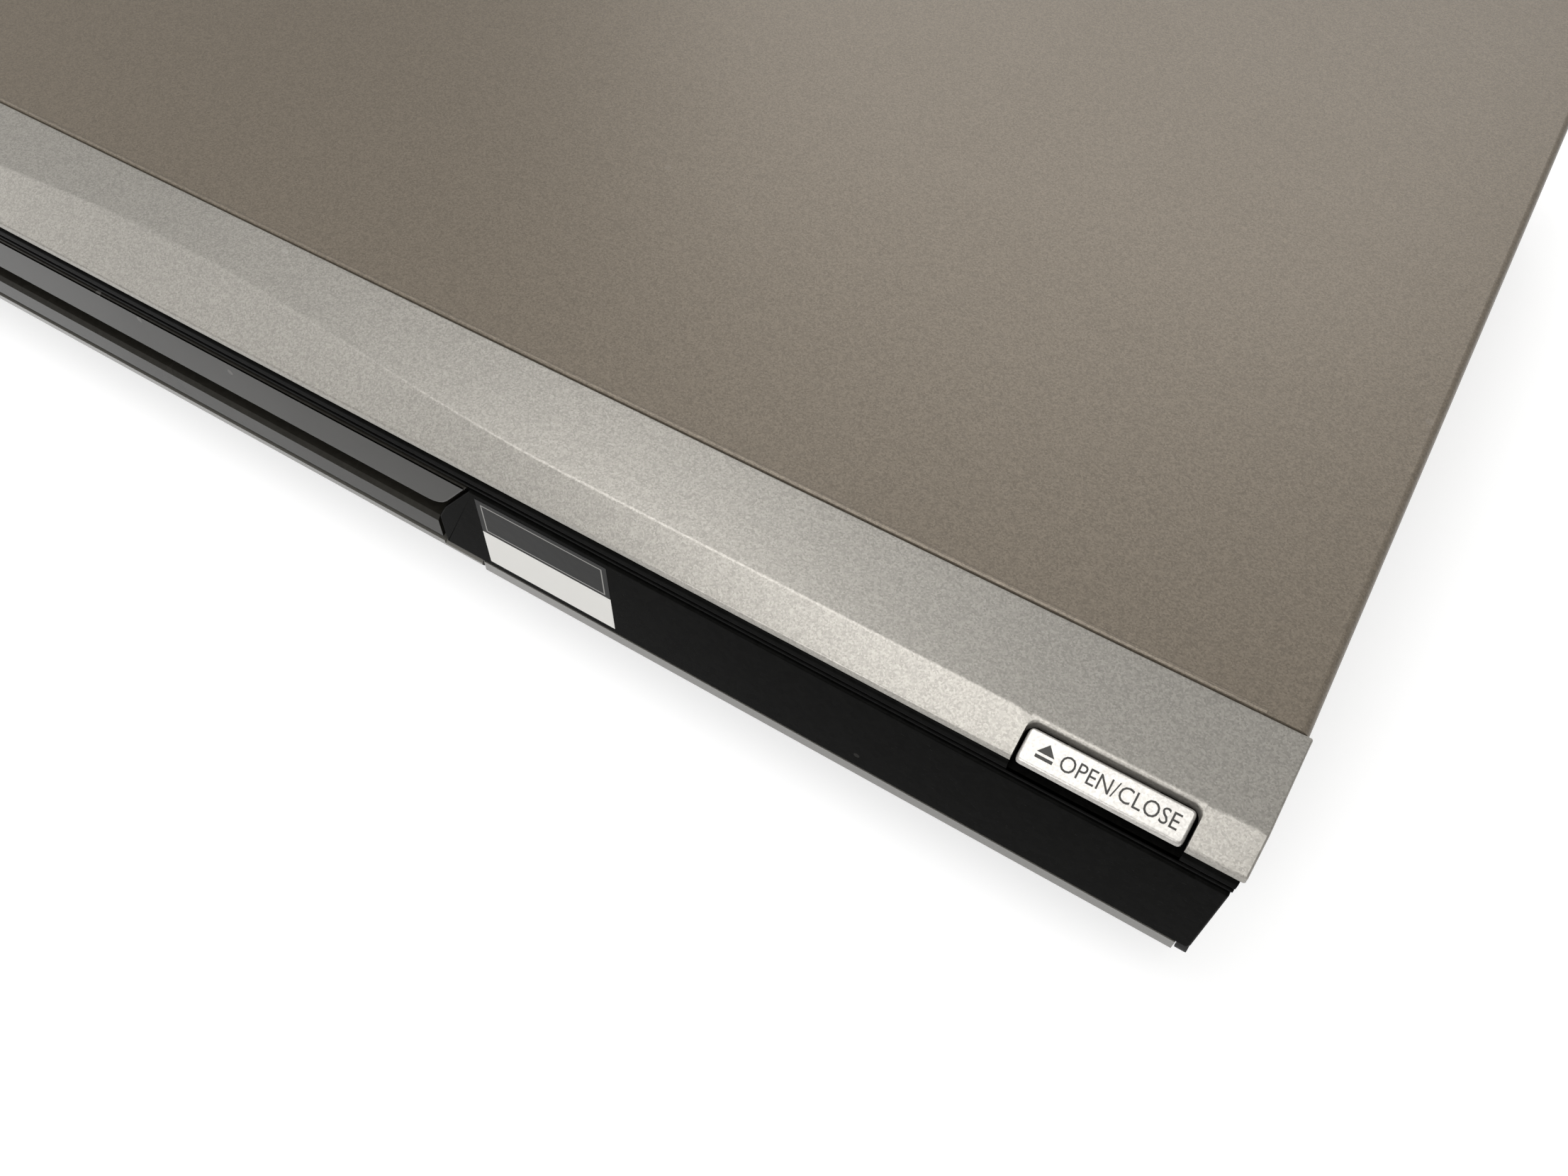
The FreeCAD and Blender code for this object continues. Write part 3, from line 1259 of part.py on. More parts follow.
def loader_base():
    """Moulded frame of the drive: walls with rails, a deck with a window, gear posts, legs and pivot ears."""
    outer = "(loader_half + loader_wall)"
    along = ("loader_front", "loader_rear")
    parts = []
    for name, low, high in (("left", "-" + outer, "-loader_half"), ("right", "loader_half", outer)):
        parts.append(block("loader_wall_" + name, (low, high), along, ("loader_foot", "loader_top")))
    parts.append(block("rail_left", ("-loader_half", "-loader_half + 5"), along,
                       ("rail_top - 1.6", "rail_top")))
    parts.append(block("rail_right", ("loader_half - 5", "loader_half"), along,
                       ("rail_top - 1.6", "rail_top")))
    deck = block("loader_deck_plate", ("-loader_half", "loader_half"), along, ("deck_foot", "deck_top"))
    window = block("loader_window", ("-window_half", "window_half"), ("window_front", "window_rear"),
                   ("deck_foot - 1", "deck_top + 1"))
    motor_hole = rod("loader_motor_hole", "z", ("deck_foot - 1", "deck_top + 1"), ("motor_x", "gear_y"),
                     "3")
    parts.append(cut("loader_deck_cut", deck, [window, motor_hole]))
    for name, y in (("front", ("loader_front", "loader_front + loader_wall")),
                    ("rear", ("loader_rear - loader_wall", "loader_rear"))):
        parts.append(block("loader_bar_" + name, ("-loader_half", "loader_half"), y,
                           ("loader_foot", "deck_foot")))
    for name, x in (("drive", "gear_x"), ("idler", "idler_x")):
        parts.append(rod("gear_post_" + name, "z", ("deck_foot", "pinion_top + 0.4"), (x, "gear_y"),
                         "gear_bore"))
        parts.append(rod("gear_seat_" + name, "z", ("deck_foot", "wheel_foot - running_gap"), (x, "gear_y"),
                         "gear_bore + 1.5"))
    for x, y in loader_legs():
        count = len(parts)
        parts.append(block("leg_arm_%d" % count, ("%s - 4" % x, "%s + 4" % x), (y + " - 4", y + " + 4"),
                           ("deck_foot", "deck_top")))
        parts.append(prism("leg_%d" % count, "z", ("floor", "deck_top"), (x, y), "boss_radius", 8))
    for side in ("-1", "1"):
        low, high = "window_half + running_gap", "window_half + running_gap + 3"
        x = (low, high) if side == "1" else ("-(%s)" % high, "-(%s)" % low)
        ear = block("pivot_ear_%d" % len(parts), x, ("traverse_pivot_y - 4", "traverse_pivot_y + 4"),
                    ("pivot_z - 4", "deck_foot + 0.5"))
        bore = rod("pivot_bore_%d" % len(parts), "x", x, ("traverse_pivot_y", "pivot_z"), "2.1")
        parts.append(cut("pivot_ear_cut_%d" % len(parts), ear, [bore]))
    whole = fuse("loader_moulding", parts)
    holes = [prism("leg_hole_%d" % index, "z", ("floor + 4", "deck_top + 1"), place, "screw_radius_board",
                   6)
             for index, place in enumerate(loader_legs())]
    return node("loader_base", cut("loader_cut", whole, holes))


def loader_legs():
    """Places of the four legs, outside the walls."""
    x = "(loader_half + loader_wall + 3.8)"
    return [(side + x, y) for side in ("-", "") for y in ("loader_front + 14", "loader_rear - 14")]


def clamper_bridge():
    """Steel bridge across the walls of the loader, with a hole for the clamper."""
    outer = "(loader_half + loader_wall)"
    y = ("spindle_y - bridge_width/2", "spindle_y + bridge_width/2")
    plate = block("bridge_plate", ("-" + outer, outer), y, ("bridge_foot", "bridge_top"))
    hole = rod("bridge_hole", "z", ("bridge_foot - 1", "bridge_top + 1"), ("0", "spindle_y"),
               "clamper_neck + 0.8")
    parts = [cut("bridge_cut", plate, [hole])]
    for name, x in (("left", ("-" + outer, "-loader_half")), ("right", ("loader_half", outer))):
        parts.append(block("bridge_foot_" + name, x, y, ("loader_top", "bridge_top")))
    return node("clamper_bridge", fuse("bridge_parts", parts))


def clamper():
    """Magnetic clamp: a pad over the turntable, a neck through the bridge and a flange that hangs on it."""
    centre = ("0", "spindle_y")
    pad_part = rod("clamper_pad", "z", ("tray_top + 0.7", "bridge_foot - 0.4"), centre,
                   "clamper_neck + 2.5")
    neck = rod("clamper_neck_part", "z", ("bridge_foot - 0.5", "bridge_top + 0.5"), centre, "clamper_neck")
    flange = rod("clamper_flange", "z", ("bridge_top + running_gap", "bridge_top + running_gap + 1.5"),
                 centre,
                 "clamper_radius")
    return node("clamper", fuse("clamper_parts", [pad_part, neck, flange]))


# Drive: tilting traverse with the spindle and the pickup

def traverse_frame():
    """Plastic ring that tilts on two pivots and carries the plate on four dampers."""
    body = new_body("traverse_frame_moulding")
    outer = rectangle(("-window_half + 2.5", "window_half - 2.5"), ("window_front + 2", "window_rear - 4"))
    inner = rectangle(("-window_half + 12", "window_half - 12"), ("window_front + 8", "window_rear - 12"))
    pad(body, "ring", "z", ("traverse_foot", "traverse_foot + 3.2"), [outer, inner])
    for side in ("-1", "1"):
        reach = "window_half + running_gap + 3"
        along = ("window_half - 3", reach) if side == "1" else ("-(%s)" % reach, "-window_half + 3")
        pad(body, "pivot_%s" % ("right" if side == "1" else "left"), "x", along,
            [("traverse_pivot_y", "pivot_z", "2")])
    return node("traverse_frame", body)


def damper_places():
    return [("%s*(window_half - 7.5)" % side, y) for side in ("-1", "1") for y in ("window_front + 11",
                                                                                   "window_rear - 21")]


def traverse_dampers():
    """Four rubber bushes between the ring and the plate."""
    items = []
    for x, y in damper_places():
        count = len(items)
        lower = prism("damper_lower_%d" % count, "z", ("traverse_foot + 3.2", "plate_foot"), (x, y), "3.6")
        neck = prism("damper_neck_%d" % count, "z", ("plate_foot - 0.2", "plate_top + 0.2"), (x, y), "2.2")
        upper = prism("damper_upper_%d" % count, "z", ("plate_top", "plate_top + 1.2"), (x, y), "3.6")
        items.append(fuse("damper_%d" % count, [lower, neck, upper]))
    return node("traverse_dampers", group("traverse_dampers_group", items))


def traverse_plate():
    """Steel plate with a window for the sled, a notch for the feed motor and clamps for the rods."""
    body = new_body("traverse_plate_sheet")
    outer = rectangle(("-window_half + 3.5", "window_half - 3.5"), ("window_front + 4", "window_rear - 13"))
    sled = rectangle(("-sled_half - 1", "sled_half + 1"), ("sled_window_front", "sled_window_rear"))
    motor = rectangle(("screw_x - 7", "screw_x + 4"), ("sled_window_rear + 5", "sled_window_rear + 19"))
    holes = [ngon(x, y, "2.2", 10) for x, y in damper_places()]
    pad(body, "plate", "z", ("plate_foot", "plate_top"), [outer, sled, motor] + holes)
    for side in ("-1", "1"):
        middle = "%s*rod_half" % side
        for name, y in (("front", ("sled_window_front - 4", "sled_window_front")),
                        ("rear", ("sled_window_rear", "sled_window_rear + 4"))):
            label = "%s_clamp_%s" % ("left" if side == "-1" else "right", name)
            pad(body, label, "y", y,
                [rectangle((middle + " - 3", middle + " + 3"), ("rod_z - 2.2", "plate_foot + 0.4"))])
    bores = [("%s*rod_half" % side, "rod_z", "rod_radius") for side in ("-1", "1")]
    pocket(body, "rod_bores", "y", ("sled_window_front - 5", "sled_window_rear + 5"), bores)
    return node("traverse_plate", body)


def guide_rods():
    items = [rod("guide_rod_%d" % index, "y", ("sled_window_front - 4", "sled_window_rear + 4"),
                 ("%s*rod_half" % side, "rod_z"), "rod_radius") for index, side in enumerate(("-1", "1"))]
    return node("guide_rods", group("guide_rods_group", items))


def spindle_motor():
    centre = ("0", "spindle_y")
    base = block("spindle_base", ("-spindle_motor_radius - 4", "spindle_motor_radius + 4"),
                 ("spindle_y - spindle_motor_radius", "spindle_y + spindle_motor_radius - 1"),
                 ("plate_top", "plate_top + 1.2"))
    can = rod("spindle_can", "z", ("plate_top", "turntable_foot - running_gap"), centre,
              "spindle_motor_radius - 0.5")
    return node("spindle_motor", fuse("spindle_motor_parts", [base, can]))


def turntable():
    """Turntable: lower disc, raised seat for the disc and a tapered hub with a magnet."""
    centre = ("0", "spindle_y")
    disc = rod("turntable_disc", "z", ("turntable_foot", "turntable_foot + 2"), centre, "turntable_radius")
    seat = rod("turntable_seat", "z", ("turntable_foot + 1.9", "turntable_top"), centre,
               "turntable_radius - 0.8")
    hub = rod("turntable_hub", "z", ("turntable_top - 0.1", "turntable_top + 2.8"), centre, "hub_radius",
              "hub_radius - 1.6")
    return node("turntable", fuse("turntable_parts", [disc, seat, hub]))


def pickup_sled():
    """Cast carriage on the two rods, with a raised head and an arm that reaches to the lead screw."""
    y = ("lens_y - sled_front", "lens_y + sled_rear")
    carriage = block("sled_carriage", ("-sled_half", "sled_half"), y, ("sled_foot", "rod_z + 2.6"))
    head = block("sled_head", ("-sled_half + 9", "sled_half - 9"),
                 ("lens_y - sled_front", "lens_y + sled_rear - 4"),
                 ("rod_z + 2", "sled_top"))
    arm = block("sled_arm", ("screw_x + screw_radius + running_gap", "-sled_half + 1"),
                ("lens_y - 4", "lens_y + 8"), ("rod_z - 1", "rod_z + 1"))
    bores = [rod("sled_bore_%d" % index, "y", ("lens_y - sled_front - 1", "lens_y + sled_rear + 1"),
                 ("%s*rod_half" % side, "rod_z"),
                 "rod_radius + 0.15") for index, side in enumerate(("-1", "1"))]
    return node("pickup_sled", cut("sled_cut", fuse("sled_parts", [carriage, head, arm]), bores))


def pickup_lens():
    """Lens holder with the objective lens standing on the head of the sled."""
    holder = block("lens_holder", ("-7", "7"), ("lens_y - 6", "lens_y + 6"), ("sled_top", "sled_top + 1"))
    ring = rod("lens_ring", "z", ("sled_top + 0.5", "sled_top + 1.5"), ("0", "lens_y"), "lens_radius")
    lens = rod("lens_dome", "z", ("sled_top + 1.4", "sled_top + 2.2"), ("0", "lens_y"), "lens_radius - 0.8",
               "lens_radius - 2.2")
    return node("pickup_lens", fuse("lens_parts", [holder, ring, lens]))


def lead_screw():
    core = rod("screw_core", "y", ("sled_window_front + 2", "sled_window_rear + 6"), ("screw_x", "rod_z"),
               "screw_radius")
    return node("lead_screw", core)


def sled_motor():
    """Stepping motor behind the lead screw, and the small bearing block at the front end of the screw."""
    can = rod("sled_motor_can", "y", ("sled_window_rear + 6 + running_gap", "sled_window_rear + 17"),
              ("screw_x", "rod_z"), "3")
    collar = rod("sled_motor_collar", "y", ("sled_window_rear + 7", "sled_window_rear + 17"),
                 ("screw_x + 0.5", "rod_z + 0.6"), "3.4")
    bracket = block("sled_motor_bracket", ("screw_x - 6", "screw_x + 3"),
                    ("sled_window_rear + 6 + running_gap", "sled_window_rear + 7.5"),
                    ("rod_z - 3", "plate_foot"))
    bearing = block("screw_bearing", ("screw_x - 3", "screw_x + 3"),
                    ("sled_window_front - 2", "sled_window_front + 1.7"),
                    ("rod_z - 3", "plate_foot"))
    return node("sled_motor",
                group("sled_motor_group", [fuse("sled_motor_parts", [can, collar, bracket]), bearing]))


# Boards

def main_board():
    """Signal board on the right, with a connector for each ribbon."""
    sheet_part = block("main_board_sheet", ("main_board_start", "main_board_end"),
                       ("main_board_front", "board_rear"),
                       ("board_foot", "board_top"))
    drive_plug = block("drive_connector", ("ribbon_end - 3", "ribbon_end + 3"),
                       ("drive_ribbon_y - 10", "drive_ribbon_y + 10"),
                       ("board_top", "board_top + 3"))
    front_plug = block("front_connector", ("front_ribbon_x - 10", "front_ribbon_x + 10"),
                       ("main_board_front + 4", "main_board_front + 10"), ("board_top", "board_top + 3"))
    holes = [prism("main_hole_%d" % index, "z", ("board_foot - 1", "board_top + 1"), place,
                   "screw_radius_board", 6)
             for index, place in enumerate(board_posts()[:4])]
    return node("main_board",
                cut("main_board_cut", fuse("main_board_parts", [sheet_part, drive_plug, front_plug]),
                    holes))


def power_board():
    sheet_part = block("power_board_sheet", ("power_board_start", "power_board_end"),
                       ("power_board_front", "board_rear"),
                       ("board_foot", "board_top"))
    holes = [prism("power_hole_%d" % index, "z", ("board_foot - 1", "board_top + 1"), place,
                   "screw_radius_board", 6)
             for index, place in enumerate(board_posts()[4:])]
    return node("power_board", cut("power_board_cut", sheet_part, holes))


def inner_screws():
    """Screws through the boards into the bosses, and through the legs of the drive."""
    items = []
    for x, y in board_posts():
        items.append(screw_upright("board_screw_%d" % len(items), x, y, "board_top", "floor + 1"))
    for x, y in loader_legs():
        items.append(screw_upright("loader_screw_%d" % len(items), x, y, "deck_top", "floor + 5"))
    return node("inner_screws", group("inner_screws_group", items))


def screw_upright(name, x, y, seat, tip):
    head = prism(name + "_head", "z", (seat, seat + " + 1.6"), (x, y), "2.8")
    shank = prism(name + "_shank", "z", (tip, seat + " + 0.5"), (x, y), "screw_radius_board", 6)
    return fuse(name, [head, shank])


def chips():
    """Main processor, four memories and two drivers on the main board."""
    items = [chip("processor", "chip_x", "chip_y", 27, 27, 2.2)]
    for index in range(4):
        items.append(chip("memory_%d" % index, "chip_x + %g" % (24 + 14*(index % 2)),
                          "chip_y + %g" % (18*(index//2) - 9), 9, 13, 1.1))
    items.append(chip("drive_driver", "chip_x - 32", "chip_y - 34", 14, 14, 1.4))
    items.append(chip("sound_converter", "chip_x + 30", "chip_y + 50", 10, 10, 1.2))
    return node("chips", group("chips_group", items))


def chip(name, x, y, length, width, tall):
    return block(name, ("%s - %g" % (x, length/2), "%s + %g" % (x, length/2)),
                 ("%s - %g" % (y, width/2), "%s + %g" % (y, width/2)),
                 ("board_top", "board_top + %g" % tall))


def heat_sink():
    """Finned block on the processor."""
    body = new_body("heat_sink_extrusion")
    half, base = "16", "board_top + 2.2"
    pad(body, "base", "z", (base, base + " + 3"), [rectangle(("chip_x - " + half, "chip_x + " + half),
                                                           ("chip_y - " + half, "chip_y + " + half))])
    for index in range(8):
        x = "chip_x - %s + %g" % (half, index*4.35)
        pad(body, "fin_%d" % index, "z", (base + " + 2.9", base + " + 15"),
            [rectangle((x, x + " + 1.4"), ("chip_y - " + half, "chip_y + " + half))])
    return node("heat_sink", body)


def transformer():
    """Switching transformer: ferrite frame round a taped winding."""
    x, y = "transformer_x", "power_board_front + 62"
    core = block("transformer_core", (x + " - 14", x + " + 14"), (y + " - 6", y + " + 6"),
                 ("board_top", "board_top + 22"))
    coil = block("transformer_coil", (x + " - 9", x + " + 9"), (y + " - 12", y + " + 12"),
                 ("board_top + 3", "board_top + 19"))
    return node("transformer", fuse("transformer_parts", [core, coil]))


def power_capacitors():
    """Reservoir capacitor, four smoothing capacitors and a line filter can on the power board."""
    items = [can_part("reservoir", "reservoir_x", "power_board_front + 60", "9", 25)]
    for index in range(4):
        items.append(can_part("smoothing_%d" % index, "smoothing_x",
                              "power_board_front + %g" % (34 + 14*index), "5", 16))
    items.append(can_part("line_filter", "reservoir_x", "power_board_front + 30", "7", 14))
    return node("power_capacitors", group("power_capacitors_group", items))


def can_part(name, x, y, radius, tall):
    return prism(name, "z", ("board_top", "board_top + %g" % tall), (x, y), radius, 16)


def ribbon_cables():
    """Flat cables from the main board to the drive and to the front board, folded in straight runs."""
    thick = 0.35
    start = number("ribbon_start")
    end = number("ribbon_end")
    over = number("loader_top") + 1
    drive = [(start, number("deck_top") + 1.7), (start, over),
             (number("loader_half + loader_wall") + 5, over),
             (end, number("board_top") + 12), (end, number("board_top") + 3)]
    front_y, back_y = number("front_board_back"), number("main_board_front + 7")
    level = number("socket_z") - 4
    front = [(front_y + 3, level), (front_y + 9, level), (back_y, number("board_top") + 12),
             (back_y, number("board_top") + 3)]
    drive_shape = flat_run(drive, thick, lambda u, v: Vector(u, number("drive_ribbon_y - 9"), v),
                           Vector(0, 18, 0))
    front_shape = flat_run(front, thick, lambda u, v: Vector(number("front_ribbon_x - 9"), u, v),
                           Vector(18, 0, 0))
    return node("ribbon_cables", group("ribbon_cables_group",
                                       [shaped("drive_ribbon", drive_shape),
                                        shaped("front_ribbon", front_shape)]))


def flat_run(points, thick, place, sweep):
    """Strip along a path: the path and its copy a thickness to the left, closed and swept sideways."""
    left = []
    for index, (u, v) in enumerate(points):
        before = points[max(index - 1, 0)]
        after = points[min(index + 1, len(points) - 1)]
        back = math.atan2(v - before[1], u - before[0]) if index else None
        ahead = math.atan2(after[1] - v, after[0] - u) if index < len(points) - 1 else None
        back = ahead if back is None else back
        ahead = back if ahead is None else ahead
        middle, half = (back + ahead)/2, (ahead - back)/2
        reach = thick/math.cos(half)
        left.append((u - reach*math.sin(middle), v + reach*math.cos(middle)))
    corners = [place(u, v) for u, v in points + left[::-1]]
    return Part.Face(Part.makePolygon(corners + corners[:1])).extrude(sweep)


# Fan and rear sockets

def fan_frame():
    """Square frame with a round bore, and a motor seat on three struts."""
    body = new_body("fan_frame_moulding")
    half = "fan_side/2"
    square = rectangle(("fan_x - " + half, "fan_x + " + half), ("fan_z - " + half, "fan_z + " + half))
    pad(body, "frame", "y", ("fan_front", "fan_back"), [square, ("fan_x", "fan_z", "fan_radius + 0.6")])
    pad(body, "seat", "y", ("fan_front", "fan_front + 2"), [("fan_x", "fan_z", "fan_hub")])
    for index in range(3):
        angle = math.radians(90 + 120*index)
        cos, sin = math.cos(angle), math.sin(angle)
        corners = []
        for along, across in (("fan_hub - 1", 1), ("fan_radius + 1", 1), ("fan_radius + 1", -1),
                              ("fan_hub - 1", -1)):
            corners.append(("fan_x + (%s)*%.6f - %.6f" % (along, cos, across*1.2*sin),
                            "fan_z + (%s)*%.6f + %.6f" % (along, sin, across*1.2*cos)))
        pad(body, "strut_%d" % index, "y", ("fan_front", "fan_front + 2"), [corners])
    pocket(body, "screw_bores", "y", ("fan_front + 1", "fan_back + 1"),
           [ngon(x, z, "screw_radius_rear", 6) for x, z in fan_screw_places()])
    return node("fan_frame", body)


def fan_rotor():
    """Hub with pitched blades: each is a slanted section at the root, carried to a wider one at the tip."""
    hub, reach, count = number("fan_hub"), number("fan_radius - 0.4"), int(number("fan_blades"))
    front_y, back_y = number("fan_front + 2 + running_gap"), number("fan_back - 2*running_gap")
    shape = Part.makeCylinder(hub, back_y - front_y, Vector(0, front_y, 0), Vector(0, 1, 0))
    middle, half = (front_y + back_y)/2, (back_y - front_y)/2 - number("running_gap")
    root, tip = blade_section(hub - 1.5, 2.6, middle, half), blade_section(reach, 3.4, middle, half)
    blade = Part.makeLoft([root, tip], True, True)
    for index in range(count):
        copy = blade.copy()
        copy.rotate(Vector(), Vector(0, 1, 0), 360*index/count)
        shape = shape.fuse(copy)
    item = shaped("fan_rotor_shape", shape)
    item.Placement = Placement(Vector(number("fan_x"), 0, number("fan_z")), Rotation())
    return node("fan_rotor", item)


def blade_section(radius, across, middle, half):
    """Thin slanted parallelogram in the plane at this distance from the axis."""
    thick = 0.5
    corners = [Vector(radius, middle - half, -across - thick),
               Vector(radius, middle - half, -across + thick),
               Vector(radius, middle + half, across + thick), Vector(radius, middle + half, across - thick)]
    return Part.makePolygon(corners + corners[:1])


def hollow_socket(name, x, z_span, y, cavity, parts):
    """Socket housing with a cavity from the back, and what stands in it."""
    shell = block(name + "_housing", x, y, z_span)
    case = cut(name + "_case", shell, [cavity])
    return node(name, fuse(name + "_parts", [case] + parts) if parts else case)


def rear_sockets():
    """Sockets that stand on the boards and look out of the rear panel."""
    out = "rear + 1.2"
    floor_z = "board_top"
    hollow_socket("hdmi_socket", ("hdmi_x - 7.5", "hdmi_x + 7.5"), (floor_z, floor_z + " + 5.7"),
                  ("panel_inner - 10", out),
                  block("hdmi_cavity", ("hdmi_x - 6.9", "hdmi_x + 6.9"), ("panel_inner - 9", "rear + 3"),
                        (floor_z + " + 0.6", floor_z + " + 5.1")),
                  [block("hdmi_tongue", ("hdmi_x - 5.6", "hdmi_x + 5.6"), ("panel_inner - 9.5", "rear"),
                         (floor_z + " + 2.5", floor_z + " + 3.4"))])
    hollow_socket("lan_socket", ("lan_x - 8", "lan_x + 8"), (floor_z, floor_z + " + 13.5"),
                  ("panel_inner - 20", out),
                  block("lan_cavity", ("lan_x - 5.9", "lan_x + 5.9"), ("panel_inner - 12", "rear + 3"),
                        (floor_z + " + 2", floor_z + " + 10")),
                  [block("lan_contacts", ("lan_x - 4", "lan_x + 4"),
                         ("panel_inner - 12.5", "panel_inner - 3"),
                         (floor_z + " + 9.2", floor_z + " + 10.5"))])
    hollow_socket("optical_socket", ("optical_x - 5", "optical_x + 5"), (floor_z, floor_z + " + 10.1"),
                  ("panel_inner - 12", out),
                  block("optical_cavity", ("optical_x - 3", "optical_x + 3"), ("rear", "rear + 3"),
                        (floor_z + " + 2", floor_z + " + 8")), [])
    pins = [rod("inlet_pin_%d" % index, "y", ("panel_inner - 12.5", "panel_inner - 1"),
                ("inlet_x + %s*4.3" % side, floor_z + " + 7.5"),
                "1.2") for index, side in enumerate(("-1", "1"))]
    hollow_socket("ac_inlet", ("inlet_x - 11", "inlet_x + 11"), (floor_z, floor_z + " + 14.7"),
                  ("panel_inner - 15", out),
                  block("inlet_cavity", ("inlet_x - 9", "inlet_x + 9"), ("panel_inner - 12", "rear + 3"),
                        (floor_z + " + 3", floor_z + " + 12")), pins)


def phono_jacks():
    """Moulded block with six barrels that pass through the rear panel."""
    housing = block("jack_housing", ("jack_x - jack_pitch/2", "jack_x + 2.5*jack_pitch"),
                    ("panel_inner - 12", "panel_inner - 0.2"), ("board_top", "jack_low_z + 1.5*jack_pitch"))
    barrels, bores, contacts = [housing], [], []
    for x, z in jack_places():
        count = len(bores)
        barrels.append(rod("jack_barrel_%d" % count, "y", ("panel_inner - 0.5", "depth/2"), (x, z),
                           "jack_radius"))
        bores.append(rod("jack_bore_%d" % count, "y", ("panel_inner - 8", "depth/2 + 1"), (x, z),
                         "jack_radius - 2.4"))
    return node("phono_jacks", cut("jack_cut", fuse("jack_block", barrels), bores))


def build():
    for make in (bottom_chassis, top_cover, rear_panel, feet, rear_screws, fascia, upper_trim, front_frame,
                 window_panel, flap_panel, flap_strip, lower_strip, centre_panel, hinge_pins, flap_label,
                 key_switches, small_boards, display_module, remote_sensor, usb_port, card_slot, tray_door,
                 disc_tray, drive_gear, idler_gear, motor_pulley, drive_belt, tray_motor, loader_base,
                 clamper_bridge, clamper, traverse_frame, traverse_dampers, traverse_plate, guide_rods,
                 spindle_motor, turntable, pickup_sled, pickup_lens, lead_screw, sled_motor, main_board,
                 power_board, inner_screws, chips, heat_sink, transformer, power_capacitors, ribbon_cables,
                 fan_frame, fan_rotor, rear_sockets, phono_jacks):
        make()
    top_button("open_close_button", "1")
    top_button("power_button", "-1")
    round_button("stop_button", "stop_button_x")
    round_button("play_button", "play_button_x")
    doc.recompute()


def check_and_write():
    """Stop on any failed object or bad solid, then write one file for each node."""
    failed = [item.Name for item in doc.Objects if "Invalid" in item.State or "Error" in item.State]
    if failed:
        raise RuntimeError("failed objects: " + ", ".join(failed))
    for name, item in nodes.items():
        shape = item.Shape
        if shape.isNull() or not shape.isValid() or not shape.Solids:
            raise RuntimeError(name + " has no valid solid")
    for name, item in nodes.items():
        item.Shape.exportStep("parts/%s.step" % name)
    print("wrote %d nodes" % len(nodes))


build()
check_and_write()
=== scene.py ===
# %% [markdown]
# # A slim disc player, dressed for rendering
# The construction model of the player comes from a CAD program and gives every part its place.
# This lesson puts looks on it: textured paint on the lid, silver and gloss plastic on the front,
# and the small details that a reader sees from a step away. Sizes are in metres, and X runs to
# the right as seen from the front, Y to the back and Z up.

# %% Load the fixed frame
import math

import bpy
import numpy as np
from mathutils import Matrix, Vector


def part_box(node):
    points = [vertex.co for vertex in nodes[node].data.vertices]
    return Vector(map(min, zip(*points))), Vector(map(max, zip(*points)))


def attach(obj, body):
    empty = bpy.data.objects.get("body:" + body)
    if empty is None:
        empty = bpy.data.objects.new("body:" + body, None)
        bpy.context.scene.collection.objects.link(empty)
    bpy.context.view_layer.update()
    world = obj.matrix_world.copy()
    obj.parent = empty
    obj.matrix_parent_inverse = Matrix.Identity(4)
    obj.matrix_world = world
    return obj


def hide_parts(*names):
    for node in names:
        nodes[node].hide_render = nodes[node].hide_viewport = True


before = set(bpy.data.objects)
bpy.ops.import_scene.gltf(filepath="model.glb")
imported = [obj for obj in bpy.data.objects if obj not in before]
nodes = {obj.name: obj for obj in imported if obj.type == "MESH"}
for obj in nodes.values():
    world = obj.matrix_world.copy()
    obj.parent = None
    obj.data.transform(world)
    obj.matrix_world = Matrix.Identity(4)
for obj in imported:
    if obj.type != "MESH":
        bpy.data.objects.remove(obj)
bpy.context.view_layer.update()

MM = 0.001

# %% [markdown]
# ## Surfaces from arrays
# Most pieces of such a player are mouldings: a section carried along a line, or an outline with a
# rounded rim. Both are grids of points, so one helper turns a grid into a mesh. It stacks closed
# rings, joins neighbours with quads and closes the first and last ring. The sign of the enclosed
# volume tells whether the faces look outwards, so a ring may run either way round.

# %% From rings of points to a closed mesh
def ring_faces(stations, count):
    """Quads between ring i and ring i + 1: corner k of one ring joins corners k and k + 1 of the next."""
    station, corner = np.meshgrid(np.arange(stations - 1), np.arange(count), indexing="ij")
    ahead = (corner + 1) % count
    near, far = station*count, (station + 1)*count
    quads = [near + corner, near + ahead, far + ahead, far + corner]
    return np.stack(quads, -1).reshape(-1, 4)


def volume_of(points, faces):
    """Sum over triangles of a fan of the triple product of their corners, over six."""
    corners = [points[np.array(face)] for face in faces]
    fans = [np.sum(np.cross(corner[1:-1], corner[2:]) @ corner[0]) for corner in corners]
    return float(sum(fans))/6


def lofted(rings, caps=True):
    """Points and faces of a skin over rings of shape (stations, count, 3), closed by a flat cap at both ends."""
    stations, count = rings.shape[:2]
    points = rings.reshape(-1, 3)
    faces = ring_faces(stations, count).tolist()
    if caps:
        faces += [list(range(count))[::-1], list(range((stations - 1)*count, stations*count))]
    if volume_of(points, faces) < 0:
        faces = [face[::-1] for face in faces]
    return points, faces


def joined(parts):
    """One list of points and faces out of several."""
    points, faces, start = [], [], 0
    for some_points, some_faces in parts:
        points.append(some_points)
        faces += [[corner + start for corner in face] for face in some_faces]
        start += len(some_points)
    return np.concatenate(points), faces


